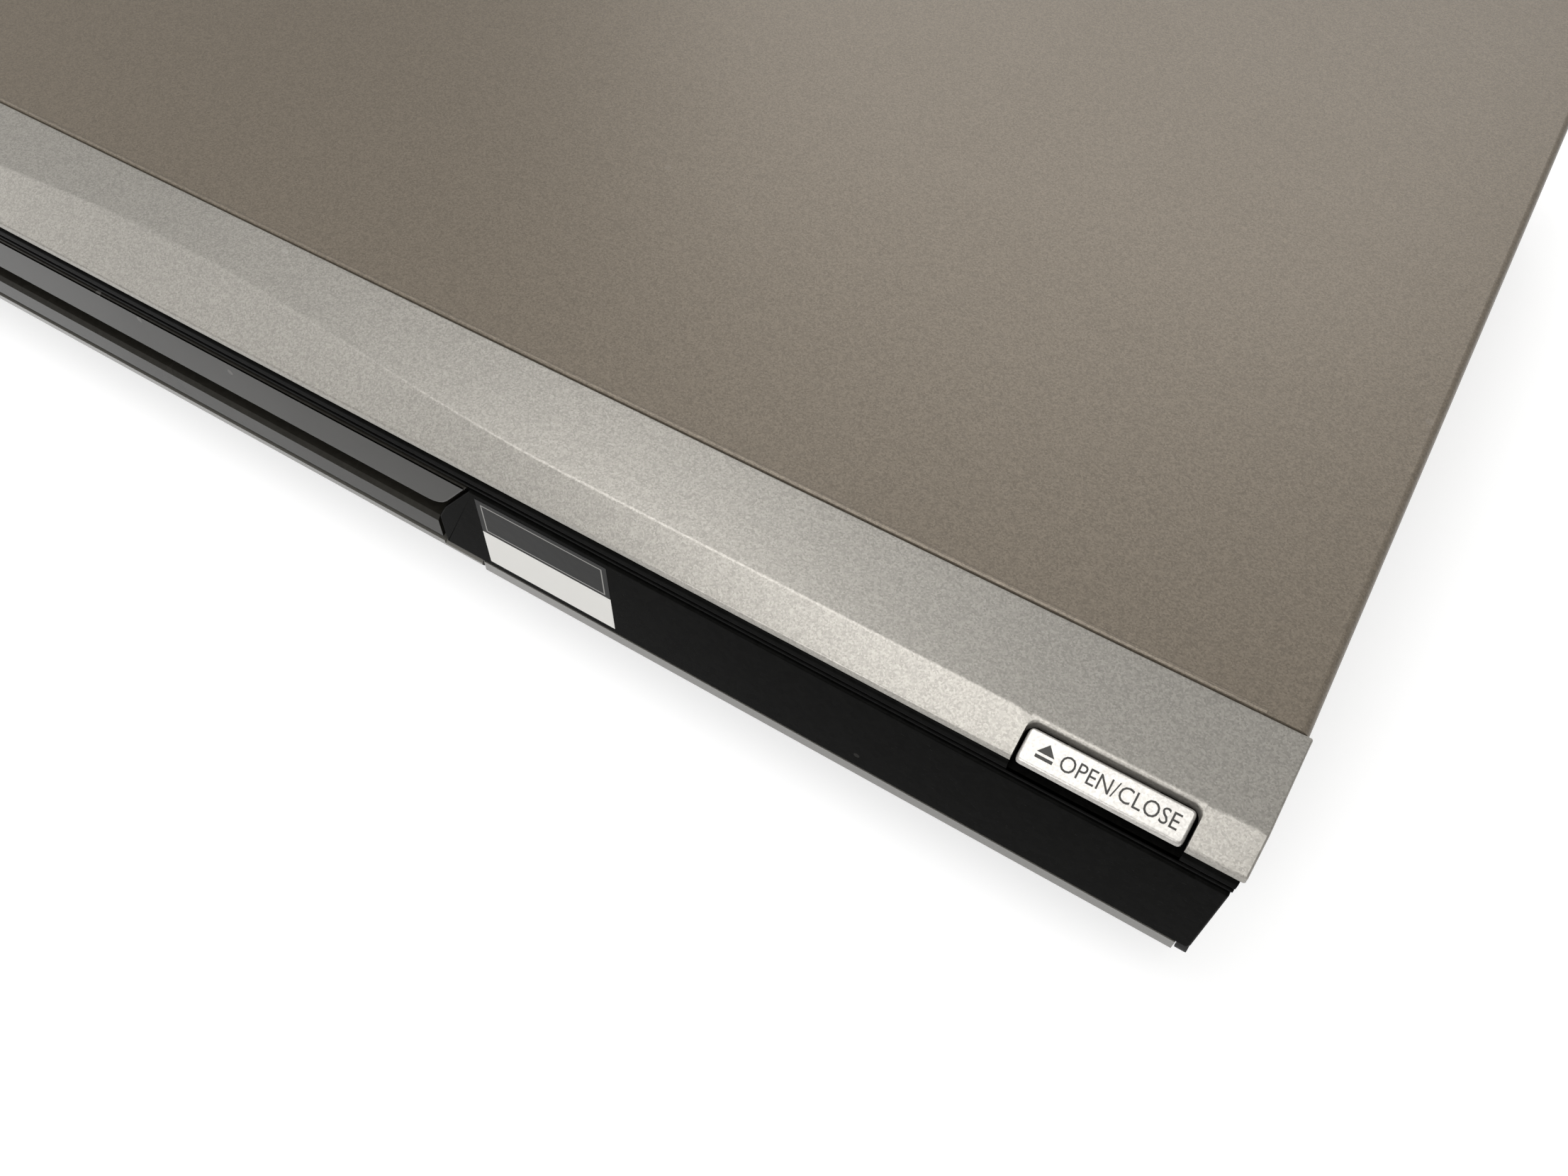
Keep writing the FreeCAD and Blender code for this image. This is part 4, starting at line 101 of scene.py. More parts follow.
def piece(name, skin, body, finish, flat_over=4, replaced=()):
    """Mesh object from points in millimetres, set to ride on a body. Faces of many corners stay flat."""
    points, faces = skin
    mesh = bpy.data.meshes.new(name)
    mesh.from_pydata((points*MM).tolist(), [], faces)
    mesh.polygons.foreach_set("use_smooth", [len(face) <= flat_over for face in faces])
    mesh.set_sharp_from_angle(angle=math.radians(35))
    item = bpy.data.objects.new(name, mesh)
    bpy.context.scene.collection.objects.link(item)
    even = item.modifiers.new("even_light", "WEIGHTED_NORMAL")
    even.keep_sharp = True
    item.data.materials.append(finish)
    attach(item, body)
    if replaced:
        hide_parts(*replaced)
    print(name, "points:", len(points), "faces:", len(faces))
    return item


# %% [markdown]
# ## Outlines and profiles
# A moulded edge is never sharp: light catches a thin line on it, and that line sells the plastic.
# So outlines get short arcs at their corners, and a plate's rim rolls over in a quarter circle.

# %% Round corners and plates with a rolled rim
def rounded(corners, radius, steps=5):
    """Corner c gives way to the curve (1-t)^2 a + 2t(1-t) c + t^2 b between points a and b on its two sides."""
    corner = np.array(corners, float)
    radius = np.broadcast_to(np.asarray(radius, float), corner.shape[:-1])[..., None]
    to_last, to_next = np.roll(corner, 1, -2) - corner, np.roll(corner, -1, -2) - corner
    last_len = np.maximum(np.linalg.norm(to_last, axis=-1, keepdims=True), 1e-6)
    next_len = np.maximum(np.linalg.norm(to_next, axis=-1, keepdims=True), 1e-6)
    cut = np.minimum(radius, 0.49*np.minimum(last_len, next_len))
    a, b = corner + to_last/last_len*cut, corner + to_next/next_len*cut
    t = np.linspace(0, 1, steps)[:, None]
    bent = (1 - t)**2*a[..., None, :] + 2*t*(1 - t)*corner[..., None, :] + t**2*b[..., None, :]
    return bent.reshape(*corner.shape[:-2], -1, 2)


def shrunk(outline, distance):
    """Outline moved inwards: each point goes against the mean of the normals of its two sides, longer at a corner."""
    side = np.roll(outline, -1, 0) - outline
    side /= np.maximum(np.linalg.norm(side, axis=1, keepdims=True), 1e-9)
    normal = np.stack([side[:, 1], -side[:, 0]], 1)
    x, y = outline[:, 0], outline[:, 1]
    turn = np.sign(np.sum(x*np.roll(y, -1) - np.roll(x, -1)*y))
    mean = normal + np.roll(normal, 1, 0)
    mean /= np.maximum(np.sum(mean*mean, 1, keepdims=True)/2, 1e-6)
    return outline - mean*distance*turn


def stacked(outline, levels, place):
    """Rings from (level, inset) pairs: the outline shrunk by the inset, put in space by place(u, v, level)."""
    rings = []
    for level, inset in levels:
        line = shrunk(outline, inset) if inset else outline
        rings.append(place(line[:, 0], line[:, 1], np.full(len(line), float(level))))
    return np.stack(rings)


def quarter(radius, steps=4):
    """Insets and depths of a rolled rim: radius (1 - sin t) and radius (1 - cos t) for t from 0 to a right angle."""
    t = np.linspace(0, math.pi/2, steps + 1)
    return radius*(1 - np.sin(t)), radius*(1 - np.cos(t))


def facing_front(u, v, w):
    """An outline in X and Z, at depth Y."""
    return np.stack([u, w, v], 1)


def plate(corners, front, back, corner_radius, rim, place=facing_front):
    """Plate between two depths whose front rim is rolled over."""
    inset, depth = quarter(rim)
    levels = [(front + d, i) for i, d in zip(inset, depth)] + [(back - 0.2, 0), (back, 0.2)]
    return lofted(stacked(rounded(corners, corner_radius), levels, place))


def bar(x, y, z):
    """Plain box as a loft of two rectangles, for pieces that nobody sees from near."""
    ring = np.array([[x[0], y[0]], [x[1], y[0]], [x[1], y[1]], [x[0], y[1]]])
    return lofted(stacked(ring, [(z[0], 0), (z[1], 0)], lambda u, v, w: np.stack([u, v, w], 1)))


print("helpers for rings, outlines and plates are ready")

# %% [markdown]
# ## Turned parts
# Feet, screws, jacks and knobs are turned parts: a profile of radius and height swung about an
# axis. The helper takes the axis as a letter, so that a jack can lie along Y.

# %% Lathe helper
def turned(profile, centre, axis="z", steps=32):
    """Ring i has radius r_i at height h_i: centre + (r cos a, r sin a, h) with the last along the axis."""
    radius, height = np.array(profile, float).T
    angle = np.arange(steps)/steps*2*math.pi
    across, up = radius[:, None]*np.cos(angle), radius[:, None]*np.sin(angle)
    along = np.repeat(height[:, None], steps, 1)
    order = {"z": (across, up, along), "y": (across, along, up), "x": (along, across, up)}[axis]
    return lofted(np.stack(order, -1) + np.array(centre, float))


print("lathe ready")

# %% [markdown]
# ## Effects that several finishes share
# Paint, moulded plastic and plated steel look different, but they share small effects: flakes in
# the lacquer, the orange peel of sprayed paint, smudges, hairline scratches and dust. Each effect
# is a node group with a few inputs. It gives out a mask or a height, and the material decides what
# that does to its colour, its roughness or its bump.

# %% Node group helpers
def add_node(tree, kind, values=None, **settings):
    """New node with its settings and the values of its input sockets."""
    item = tree.nodes.new("ShaderNode" + kind)
    for key, value in settings.items():
        setattr(item, key, value)
    for key, value in (values or {}).items():
        item.inputs[key].default_value = value
    return item


def wire(tree, source, target):
    tree.links.new(source, target)


def new_group(name, inputs, outputs):
    """Empty group with number sockets, its input and output nodes, and object coordinates."""
    tree = bpy.data.node_groups.new(name, "ShaderNodeTree")
    for socket, value in inputs.items():
        made = tree.interface.new_socket(socket, in_out="INPUT", socket_type="NodeSocketFloat")
        made.default_value = value
    for socket in outputs:
        tree.interface.new_socket(socket, in_out="OUTPUT", socket_type="NodeSocketFloat")
    start, end = tree.nodes.new("NodeGroupInput"), tree.nodes.new("NodeGroupOutput")
    place = add_node(tree, "TexCoord")
    return tree, start, end, place.outputs["Object"]


def sums(tree, operation, first, second=None, clamp=False):
    """Math node between sockets or plain numbers."""
    item = add_node(tree, "Math", operation=operation, use_clamp=clamp)
    for socket, value in zip(item.inputs, (first, second)):
        if value is None:
            continue
        if isinstance(value, (int, float)):
            socket.default_value = value
        else:
            wire(tree, value, socket)
    return item.outputs[0]


def ramp(tree, value, low, high, start=0.0, end=1.0):
    """Value taken from low..high to start..end, smooth at both ends and clamped."""
    item = add_node(tree, "MapRange", {"From Min": low, "From Max": high, "To Min": start, "To Max": end},
                    interpolation_type="SMOOTHSTEP")
    wire(tree, value, item.inputs["Value"])
    return item.outputs["Result"]


print("node helpers ready")

# %% Flakes, peel, smudges, scratches and dust
def make_flakes():
    """Small cells, each with a random brightness, blurred by a finer noise: flakes in lacquer."""
    tree, start, end, place = new_group("flakes", {"Scale": 1500.0}, ["Mask"])
    cells = add_node(tree, "TexVoronoi", feature="F1")
    wire(tree, place, cells.inputs["Vector"])
    wire(tree, start.outputs["Scale"], cells.inputs["Scale"])
    parts = add_node(tree, "SeparateColor")
    wire(tree, cells.outputs["Color"], parts.inputs["Color"])
    fine = add_node(tree, "TexNoise", {"Detail": 2.0, "Roughness": 0.7})
    wire(tree, place, fine.inputs["Vector"])
    wire(tree, start.outputs["Scale"], fine.inputs["Scale"])
    both = sums(tree, "ADD", sums(tree, "MULTIPLY", parts.outputs["Red"], 0.6),
                sums(tree, "MULTIPLY", fine.outputs["Fac"], 0.4))
    wire(tree, both, end.inputs["Mask"])
    return tree


def make_peel():
    """Soft bumps of sprayed or moulded surfaces: one noise for the waves and one for the fine texture."""
    tree, start, end, place = new_group("peel", {"Scale": 400.0}, ["Height"])
    soft = add_node(tree, "TexNoise", {"Detail": 1.0, "Roughness": 0.4})
    wire(tree, place, soft.inputs["Vector"])
    wire(tree, start.outputs["Scale"], soft.inputs["Scale"])
    fine = add_node(tree, "TexNoise", {"Detail": 2.0, "Roughness": 0.6})
    wire(tree, place, fine.inputs["Vector"])
    wire(tree, sums(tree, "MULTIPLY", start.outputs["Scale"], 3.7), fine.inputs["Scale"])
    both = sums(tree, "ADD", soft.outputs["Fac"], sums(tree, "MULTIPLY", fine.outputs["Fac"], 0.35))
    wire(tree, both, end.inputs["Height"])
    return tree


def make_smudges():
    """Wide cloudy patches, as hands and cloths leave them."""
    tree, start, end, place = new_group("smudges", {"Scale": 14.0}, ["Mask"])
    cloud = add_node(tree, "TexNoise", {"Detail": 4.0, "Roughness": 0.55, "Distortion": 0.6})
    wire(tree, place, cloud.inputs["Vector"])
    wire(tree, start.outputs["Scale"], cloud.inputs["Scale"])
    wire(tree, ramp(tree, cloud.outputs["Fac"], 0.38, 0.68), end.inputs["Mask"])
    return tree


def make_scratches():
    """Hairlines: a noise stretched sixty times along one direction, cut to thin crests and broken up by a cloud."""
    tree, start, end, place = new_group("scratches", {"Turn": 0.6, "Scale": 40.0, "Share": 0.5}, ["Mask"])
    turned_place = add_node(tree, "VectorRotate", rotation_type="Z_AXIS")
    wire(tree, place, turned_place.inputs["Vector"])
    wire(tree, start.outputs["Turn"], turned_place.inputs["Angle"])
    stretched = add_node(tree, "VectorMath", operation="MULTIPLY")
    stretched.inputs[1].default_value = (1.0, 60.0, 60.0)
    wire(tree, turned_place.outputs["Vector"], stretched.inputs[0])
    lines = add_node(tree, "TexNoise", {"Detail": 1.0})
    wire(tree, stretched.outputs["Vector"], lines.inputs["Vector"])
    wire(tree, start.outputs["Scale"], lines.inputs["Scale"])
    crest = ramp(tree, lines.outputs["Fac"], 0.70, 0.78)
    cloud = add_node(tree, "TexNoise", {"Scale": 18.0, "Detail": 2.0})
    wire(tree, place, cloud.inputs["Vector"])
    broken = sums(tree, "LESS_THAN", cloud.outputs["Fac"], start.outputs["Share"])
    wire(tree, sums(tree, "MULTIPLY", crest, broken), end.inputs["Mask"])
    return tree


def make_dust():
    """Specks: the middles of large cells, kept where the cell's random colour is high."""
    tree, start, end, place = new_group("dust", {"Scale": 90.0, "Size": 0.05, "Share": 0.2}, ["Mask"])
    cells = add_node(tree, "TexVoronoi", feature="F1")
    wire(tree, place, cells.inputs["Vector"])
    wire(tree, start.outputs["Scale"], cells.inputs["Scale"])
    parts = add_node(tree, "SeparateColor")
    wire(tree, cells.outputs["Color"], parts.inputs["Color"])
    reach = sums(tree, "MULTIPLY", start.outputs["Size"], sums(tree, "ADD", parts.outputs["Green"], 0.4))
    near = sums(tree, "LESS_THAN", cells.outputs["Distance"], reach)
    kept = sums(tree, "LESS_THAN", parts.outputs["Red"], start.outputs["Share"])
    wire(tree, sums(tree, "MULTIPLY", near, kept), end.inputs["Mask"])
    return tree


EFFECTS = {tree.name: tree for tree in (make_flakes(), make_peel(), make_smudges(), make_scratches(), make_dust())}
print("effects:", ", ".join(EFFECTS))

# %% [markdown]
# ## One recipe for most finishes
# A finish starts from a colour and a roughness. Flakes lighten and darken the colour, smudges and
# scratches change the roughness, dust lies on top as pale specks, and peel, flakes and scratches
# add up to one height for the bump. What is the same all over, such as the specular level, is
# set on the shader itself.

# %% The recipe
def effect(tree, name, **values):
    item = tree.nodes.new("ShaderNodeGroup")
    item.node_tree = EFFECTS[name]
    for key, value in values.items():
        item.inputs[key.capitalize()].default_value = value
    return item.outputs[0]


def blend_colours(tree, share, first, second, mode="MIX"):
    """Mix of two colours, each a socket or a plain colour."""
    item = add_node(tree, "Mix", data_type="RGBA", blend_type=mode)
    for socket, value in ((item.inputs["Factor"], share), (item.inputs["A"], first), (item.inputs["B"], second)):
        if hasattr(value, "is_linked"):
            wire(tree, value, socket)
        elif isinstance(value, (int, float)):
            socket.default_value = value
        else:
            socket.default_value = (*value, 1.0)
    return [out for out in item.outputs if out.type == "RGBA"][0]


def finish(name, colour, roughness, metallic=0.0, specular=0.5, ior=1.5, coat=0.0, coat_roughness=0.05,
           flakes=(1500.0, 0.0), peel=(400.0, 0.0), smudge=0.0, scratch=0.0, dust=0.0, tint=None):
    """Principled surface whose colour, roughness and height vary by the shared effects."""
    item = bpy.data.materials.new(name)
    item.use_nodes = True
    tree = item.node_tree
    shader = tree.nodes["Principled BSDF"]
    shader.inputs["Metallic"].default_value = metallic
    shader.inputs["Specular IOR Level"].default_value = specular
    shader.inputs["IOR"].default_value = ior
    shader.inputs["Coat Weight"].default_value = coat
    shader.inputs["Coat Roughness"].default_value = coat_roughness
    flake = effect(tree, "flakes", scale=flakes[0])
    cloud = effect(tree, "smudges")
    lines = effect(tree, "scratches")
    specks = effect(tree, "dust")
    amount = flakes[1] + 0.04
    dark = tuple(max(part*(1 - amount), 0) for part in colour)
    light = tuple(min(part*(1 + amount) + 0.002, 1) for part in colour)
    paint = blend_colours(tree, flake, dark, light)
    if tint is not None:
        paint = blend_colours(tree, sums(tree, "MULTIPLY", cloud, 0.6), paint, tint)
    paint = blend_colours(tree, sums(tree, "MULTIPLY", lines, scratch), paint, light)
    paint = blend_colours(tree, sums(tree, "MULTIPLY", specks, dust), paint, (0.55, 0.53, 0.5))
    wire(tree, paint, shader.inputs["Base Color"])
    rough = sums(tree, "ADD", sums(tree, "MULTIPLY", cloud, smudge), roughness)
    rough = sums(tree, "ADD", rough, sums(tree, "MULTIPLY", specks, 0.3*dust), clamp=True)
    wire(tree, rough, shader.inputs["Roughness"])
    height = sums(tree, "MULTIPLY", effect(tree, "peel", scale=peel[0]), peel[1])
    height = sums(tree, "ADD", height, sums(tree, "MULTIPLY", flake, 0.25*flakes[1]))
    height = sums(tree, "SUBTRACT", height, sums(tree, "MULTIPLY", lines, 0.3*scratch))
    bump = add_node(tree, "Bump", {"Distance": 0.0002, "Strength": 0.5})
    wire(tree, height, bump.inputs["Height"])
    wire(tree, bump.outputs["Normal"], shader.inputs["Normal"])
    return item


def overlaid(item, mask_of, colour):
    """Lays a second colour over a finish where a mask is one; the mask is worked out from object coordinates."""
    tree = item.node_tree
    place = add_node(tree, "SeparateXYZ")
    wire(tree, add_node(tree, "TexCoord").outputs["Object"], place.inputs[0])
    socket = tree.nodes["Principled BSDF"].inputs["Base Color"]
    mask = mask_of(tree, *place.outputs)
    wire(tree, blend_colours(tree, mask, socket.links[0].from_socket, colour), socket)
    return item


def between(tree, value, low, high):
    """One where low < value < high, from millimetres."""
    above = sums(tree, "GREATER_THAN", value, low*MM)
    return sums(tree, "MULTIPLY", above, sums(tree, "LESS_THAN", value, high*MM))


def stripes(tree, value, pitch, share):
    """One on the first share of every pitch, from millimetres."""
    turns = sums(tree, "FRACT", sums(tree, "DIVIDE", value, pitch*MM))
    return sums(tree, "LESS_THAN", turns, share)


print("recipe ready")

# %% [markdown]
# ## Finishes of the player
# The lid is sheet steel under a warm grey lacquer with fine flakes. The front bar is plastic in a
# cooler silver. The panels are black acrylic with a high gloss, which shows every hairline, and
# they are dark enough that only their edges and the room show in them.

# %% Casing and front finishes
cover_paint = finish("cover_paint", (0.172, 0.1445, 0.111), 0.38, metallic=0.35, flakes=(4000.0, 0.32),
                     peel=(420.0, 0.4), smudge=0.015, scratch=0.06, dust=0.06)
silver_plastic = finish("silver_plastic", (0.325, 0.310, 0.281), 0.35, metallic=0.6, flakes=(3800.0, 0.26),
                        peel=(700.0, 0.2), smudge=0.02, scratch=0.04, dust=0.2)
button_silver = finish("button_silver", (0.44, 0.425, 0.40), 0.30, metallic=0.6, flakes=(3800.0, 0.18),
                       peel=(800.0, 0.15), smudge=0.03, scratch=0.06)
flap_gloss = finish("flap_gloss", (0.0030, 0.0030, 0.0027), 0.12, specular=0.008, flakes=(900.0, 0.1),
                    peel=(160.0, 0.02), smudge=0.06, scratch=0.35, dust=0.04)
panel_gloss = finish("panel_gloss", (0.0030, 0.0030, 0.0027), 0.14, specular=0.008, flakes=(900.0, 0.1),
                     peel=(160.0, 0.02), smudge=0.06, scratch=0.3, dust=0.04)
door_gloss = finish("door_gloss", (0.020, 0.0185, 0.015), 0.20, specular=0.5, ior=1.28, flakes=(900.0, 0.1),
                    peel=(160.0, 0.03), smudge=0.08, scratch=0.3, dust=0.12)
frame_plastic = finish("frame_plastic", (0.012, 0.012, 0.012), 0.5, specular=0.35, peel=(1800.0, 1.0),
                       smudge=0.1, dust=0.4)
strip_clear = finish("strip_clear", (0.125, 0.12, 0.107), 0.16, specular=0.6, coat=0.5,
                     flakes=(2200.0, 0.03), peel=(300.0, 0.05), smudge=0.06, scratch=0.2, dust=0.15)
print("front finishes:", len(bpy.data.materials))

# %% Metal finishes
zinc_sheet = finish("zinc_sheet", (0.55, 0.56, 0.57), 0.34, metallic=0.9, flakes=(160.0, 0.14),
                    peel=(900.0, 0.2), smudge=0.14, scratch=0.35, dust=0.2)
rear_paint = finish("rear_paint", (0.028, 0.028, 0.029), 0.5, flakes=(1500.0, 0.2), peel=(1100.0, 1.3),
                    smudge=0.08, dust=0.5)
screw_steel = finish("screw_steel", (0.10, 0.10, 0.105), 0.36, metallic=0.85, flakes=(2500.0, 0.2),
                     peel=(1500.0, 0.3), smudge=0.1)
bright_plate = finish("bright_plate", (0.66, 0.66, 0.65), 0.2, metallic=1.0, flakes=(1200.0, 0.06),
                      peel=(600.0, 0.25), smudge=0.16, scratch=0.4)
nickel_plate = finish("nickel_plate", (0.68, 0.62, 0.50), 0.2, metallic=1.0, flakes=(1200.0, 0.05),
                      peel=(700.0, 0.2), smudge=0.14, scratch=0.3)
polished_steel = finish("polished_steel", (0.60, 0.60, 0.61), 0.14, metallic=1.0, flakes=(1500.0, 0.05),
                        peel=(500.0, 0.1), smudge=0.1, scratch=0.3)
motor_steel = finish("motor_steel", (0.50, 0.50, 0.51), 0.32, metallic=0.9, flakes=(700.0, 0.08),
                     peel=(900.0, 0.3), smudge=0.15, scratch=0.35)
die_cast = finish("die_cast", (0.36, 0.36, 0.37), 0.45, metallic=0.8, flakes=(900.0, 0.16),
                  peel=(1300.0, 1.0), smudge=0.12)
aluminium = finish("aluminium", (0.62, 0.63, 0.64), 0.32, metallic=0.95, flakes=(1100.0, 0.07),
                   peel=(800.0, 0.3), smudge=0.1, scratch=0.5)
print("metal finishes:", len(bpy.data.materials))

# %% Plastics, rubber and boards
tray_plastic = finish("tray_plastic", (0.030, 0.030, 0.031), 0.36, specular=0.45, peel=(1500.0, 0.7),
                      smudge=0.12, scratch=0.3, dust=0.5)
loader_plastic = finish("loader_plastic", (0.040, 0.040, 0.043), 0.48, peel=(1300.0, 0.9), smudge=0.1, dust=0.6)
acetal = finish("acetal", (0.72, 0.70, 0.63), 0.38, specular=0.5, peel=(900.0, 0.3), smudge=0.12, dust=0.2)
turntable_plastic = finish("turntable_plastic", (0.055, 0.055, 0.056), 0.42, peel=(1200.0, 0.6), smudge=0.1, dust=0.3)
socket_plastic = finish("socket_plastic", (0.020, 0.020, 0.021), 0.42, peel=(1400.0, 0.6), smudge=0.1, dust=0.4)
fan_plastic = finish("fan_plastic", (0.016, 0.016, 0.017), 0.4, peel=(1300.0, 0.5), smudge=0.1, dust=0.7)
foot_rubber = finish("foot_rubber", (0.022, 0.021, 0.020), 0.72, specular=0.3, peel=(1600.0, 1.2), smudge=0.12, dust=0.6)
belt_rubber = finish("belt_rubber", (0.014, 0.014, 0.014), 0.62, specular=0.3, peel=(1800.0, 0.6), smudge=0.1, dust=0.3)
damper_rubber = finish("damper_rubber", (0.06, 0.025, 0.02), 0.66, specular=0.3, peel=(1200.0, 0.6), smudge=0.1)
chip_epoxy = finish("chip_epoxy", (0.018, 0.018, 0.019), 0.55, peel=(2500.0, 1.0), flakes=(3000.0, 0.2), smudge=0.08)
sensor_plastic = finish("sensor_plastic", (0.020, 0.006, 0.012), 0.12, specular=0.6, peel=(300.0, 0.05), smudge=0.08)
winding_tape = finish("winding_tape", (0.60, 0.42, 0.05), 0.36, peel=(500.0, 0.6), smudge=0.12, flakes=(600.0, 0.08))
sleeve = finish("sleeve", (0.015, 0.022, 0.085), 0.34, peel=(600.0, 0.4), smudge=0.1, scratch=0.2)
board_brown = finish("board_brown", (0.27, 0.16, 0.07), 0.5, flakes=(500.0, 0.14), peel=(1500.0, 0.6), smudge=0.1)
board_green = finish("board_green", (0.012, 0.085, 0.035), 0.34, flakes=(420.0, 0.2), peel=(1500.0, 0.4), smudge=0.08)
ribbon_white = finish("ribbon_white", (0.70, 0.69, 0.66), 0.42, peel=(600.0, 0.3), smudge=0.08)
display_glass = finish("display_glass", (0.010, 0.020, 0.022), 0.08, specular=0.5, peel=(200.0, 0.02), smudge=0.1)
lens_glass = finish("lens_glass", (0.05, 0.06, 0.16), 0.06, specular=0.9, coat=1.0, peel=(300.0, 0.02), smudge=0.05)
label_vinyl = finish("label_vinyl", (0.008, 0.008, 0.0075), 0.34, specular=0.25, ior=1.3, peel=(500.0, 0.2), smudge=0.05)
print("plain finishes so far:", len(bpy.data.materials))

# %% Finishes with a drawn pattern
def trace_mask(tree, x, y, z):
    """Thin lines along both directions, each kept only where a coarse noise allows it: copper under the mask."""
    cloud = add_node(tree, "TexNoise", {"Scale": 60.0, "Detail": 1.0})
    wire(tree, add_node(tree, "TexCoord").outputs["Object"], cloud.inputs["Vector"])
    level = cloud.outputs["Fac"]
    along = sums(tree, "MULTIPLY", stripes(tree, x, 1.6, 0.4), sums(tree, "GREATER_THAN", level, 0.52))
    across = sums(tree, "MULTIPLY", stripes(tree, y, 1.6, 0.4), sums(tree, "LESS_THAN", level, 0.46))
    return sums(tree, "MAXIMUM", along, across)


def conductor_mask(tree, x, y, z):
    """Stripes across each ribbon: the rear one runs along X, the front one along Y."""
    rear = sums(tree, "GREATER_THAN", y, 0.0)
    front = sums(tree, "SUBTRACT", 1.0, rear)
    return sums(tree, "ADD", sums(tree, "MULTIPLY", rear, stripes(tree, y, 1.0, 0.45)),
                sums(tree, "MULTIPLY", front, stripes(tree, x, 1.0, 0.45)))


def segment_mask(tree, x, y, z):
    """A row of upright blocks in the middle of the glass, dim because the display is off."""
    middle = (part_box("display_module")[0][2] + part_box("display_module")[1][2])/2/MM
    return sums(tree, "MULTIPLY", stripes(tree, x, 5.0, 0.6), between(tree, z, middle - 3, middle + 3))


overlaid(board_green, trace_mask, (0.03, 0.16, 0.07))
overlaid(ribbon_white, conductor_mask, (0.36, 0.35, 0.34))
overlaid(display_glass, segment_mask, (0.035, 0.05, 0.05))
print("all finishes:", len(bpy.data.materials))

# %% [markdown]
# ## Sizes that the pieces share
# The frame knows where every part is, so most sizes are read from its boxes. Only what a box can't
# tell, such as the height of a step inside a part, is written here. All are in millimetres.

# %% Sizes
def corners_of(node):
    low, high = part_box(node)
    return np.array(low)/MM, np.array(high)/MM


fascia_low, fascia_high = corners_of("fascia")
flap_low, flap_high = corners_of("flap_panel")
window_low, window_high = corners_of("window_panel")
door_low, door_high = corners_of("tray_door")
trim_low, trim_high = corners_of("upper_trim")
cover_low, cover_high = corners_of("top_cover")
cover_edge = cover_low[1]
fascia_front, lip_foot, band_top = fascia_low[1], fascia_low[2], fascia_high[2]
half_width = fascia_high[0]
fascia_edge = 49.0
fascia_wall = 1.8
band_slope = 0.17
crease_side, crease_middle, crease_spread = 15.8, 10.3, 100.0
seat_gap = 0.12
button_gap = 0.6
print("front at", round(fascia_front, 2), "cover from", round(cover_edge, 2), "half width", round(half_width, 2))

# %% [markdown]
# ## The silver bar
# The bar above the black front is one moulding. Its top has two bands, the rear one nearly level
# and the front one steeper, and they meet in a crease that waves towards the middle. The shape is
# a section that changes slowly along X, so it is a grid of stations and section points. At the two
# keys the section is cut short, and where two stations share one X, the quads between them become
# the side wall of the notch.

# %% Label
label_low, label_high = corners_of("flap_label")


def label_frame(tree, x, y, z):
    """A thin frame round the dark upper half: an outer field less the field inside it."""
    split = (label_low[2] + label_high[2])/2
    fields = []
    for inset in (1.0, 1.25):
        across = between(tree, x, label_low[0] + inset, label_high[0] - inset)
        fields.append(sums(tree, "MULTIPLY", across, between(tree, z, split + inset - 0.4, label_high[2] - inset)))
    return sums(tree, "SUBTRACT", *fields)


def label_foot(tree, x, y, z):
    """The white lower half."""
    return between(tree, z, label_low[2] - 1, (label_low[2] + label_high[2])/2)


overlaid(label_vinyl, label_frame, (0.30, 0.295, 0.28))
overlaid(label_vinyl, label_foot, (0.80, 0.79, 0.76))
print("label from", label_low.round(1), "to", label_high.round(1))

# %% Silver bar
def crease_line(x):
    """Y of the crease: its distance from the lid is middle + (side - middle)(1 - cos(pi s))/2, s = |x|/spread up to 1."""
    share = np.minimum(np.abs(x)/crease_spread, 1)
    return cover_edge - crease_middle - (crease_side - crease_middle)*(1 - np.cos(math.pi*share))/2


def bar_corners(x, nose):
    """Eight corners of the section in YZ at each x; nose is the Y of its front end, further back in a notch."""
    rear = np.full_like(x, cover_edge - seat_gap)
    crease = crease_line(x)
    crease_z = band_top - band_slope*(rear - crease)
    pitch = (crease_z - fascia_edge)/(crease - fascia_front)
    nose_z = fascia_edge + pitch*(nose - fascia_front)
    whole = nose < fascia_front + 0.01
    lip = np.where(whole, lip_foot, nose_z - fascia_wall)
    wall = np.where(whole, fascia_wall, 0.2)
    inner = np.where(whole, fascia_edge - fascia_wall/2, nose_z - fascia_wall + 0.05)
    y = [rear, rear, crease, nose, nose, nose + wall, nose + 1.1*wall, crease]
    z = [rear*0 + band_top - fascia_wall, rear*0 + band_top, crease_z, nose_z, lip, lip, inner, crease_z - fascia_wall]
    return np.stack([np.stack(y, 1), np.stack(z, 1)], -1)


def notch_stations(start, end, rear, corner):
    """X and nose Y round a notch with rounded rear corners: quarter circles at both ends, a full station before and after."""
    t = np.linspace(0, math.pi/2, 6)
    side, back = corner*(1 - np.cos(t)), rear - corner*(1 - np.sin(t))
    x = np.concatenate([[start], start + side, end - side[::-1], [end]])
    return x, np.concatenate([[fascia_front], back, back[::-1], [fascia_front]])


def stations_between(start, end, notches, count=120):
    """Even stations with those inside a notch swapped for the notch's own."""
    x = np.linspace(start, end, count)
    nose = np.full(count, fascia_front)
    for notch_x, notch_nose in notches:
        kept = (x < notch_x[0] - 0.01) | (x > notch_x[-1] + 0.01)
        before = kept & (x < notch_x[0])
        x = np.concatenate([x[before], notch_x, x[kept & ~before]])
        nose = np.concatenate([nose[before], notch_nose, nose[kept & ~before]])
    return x, nose


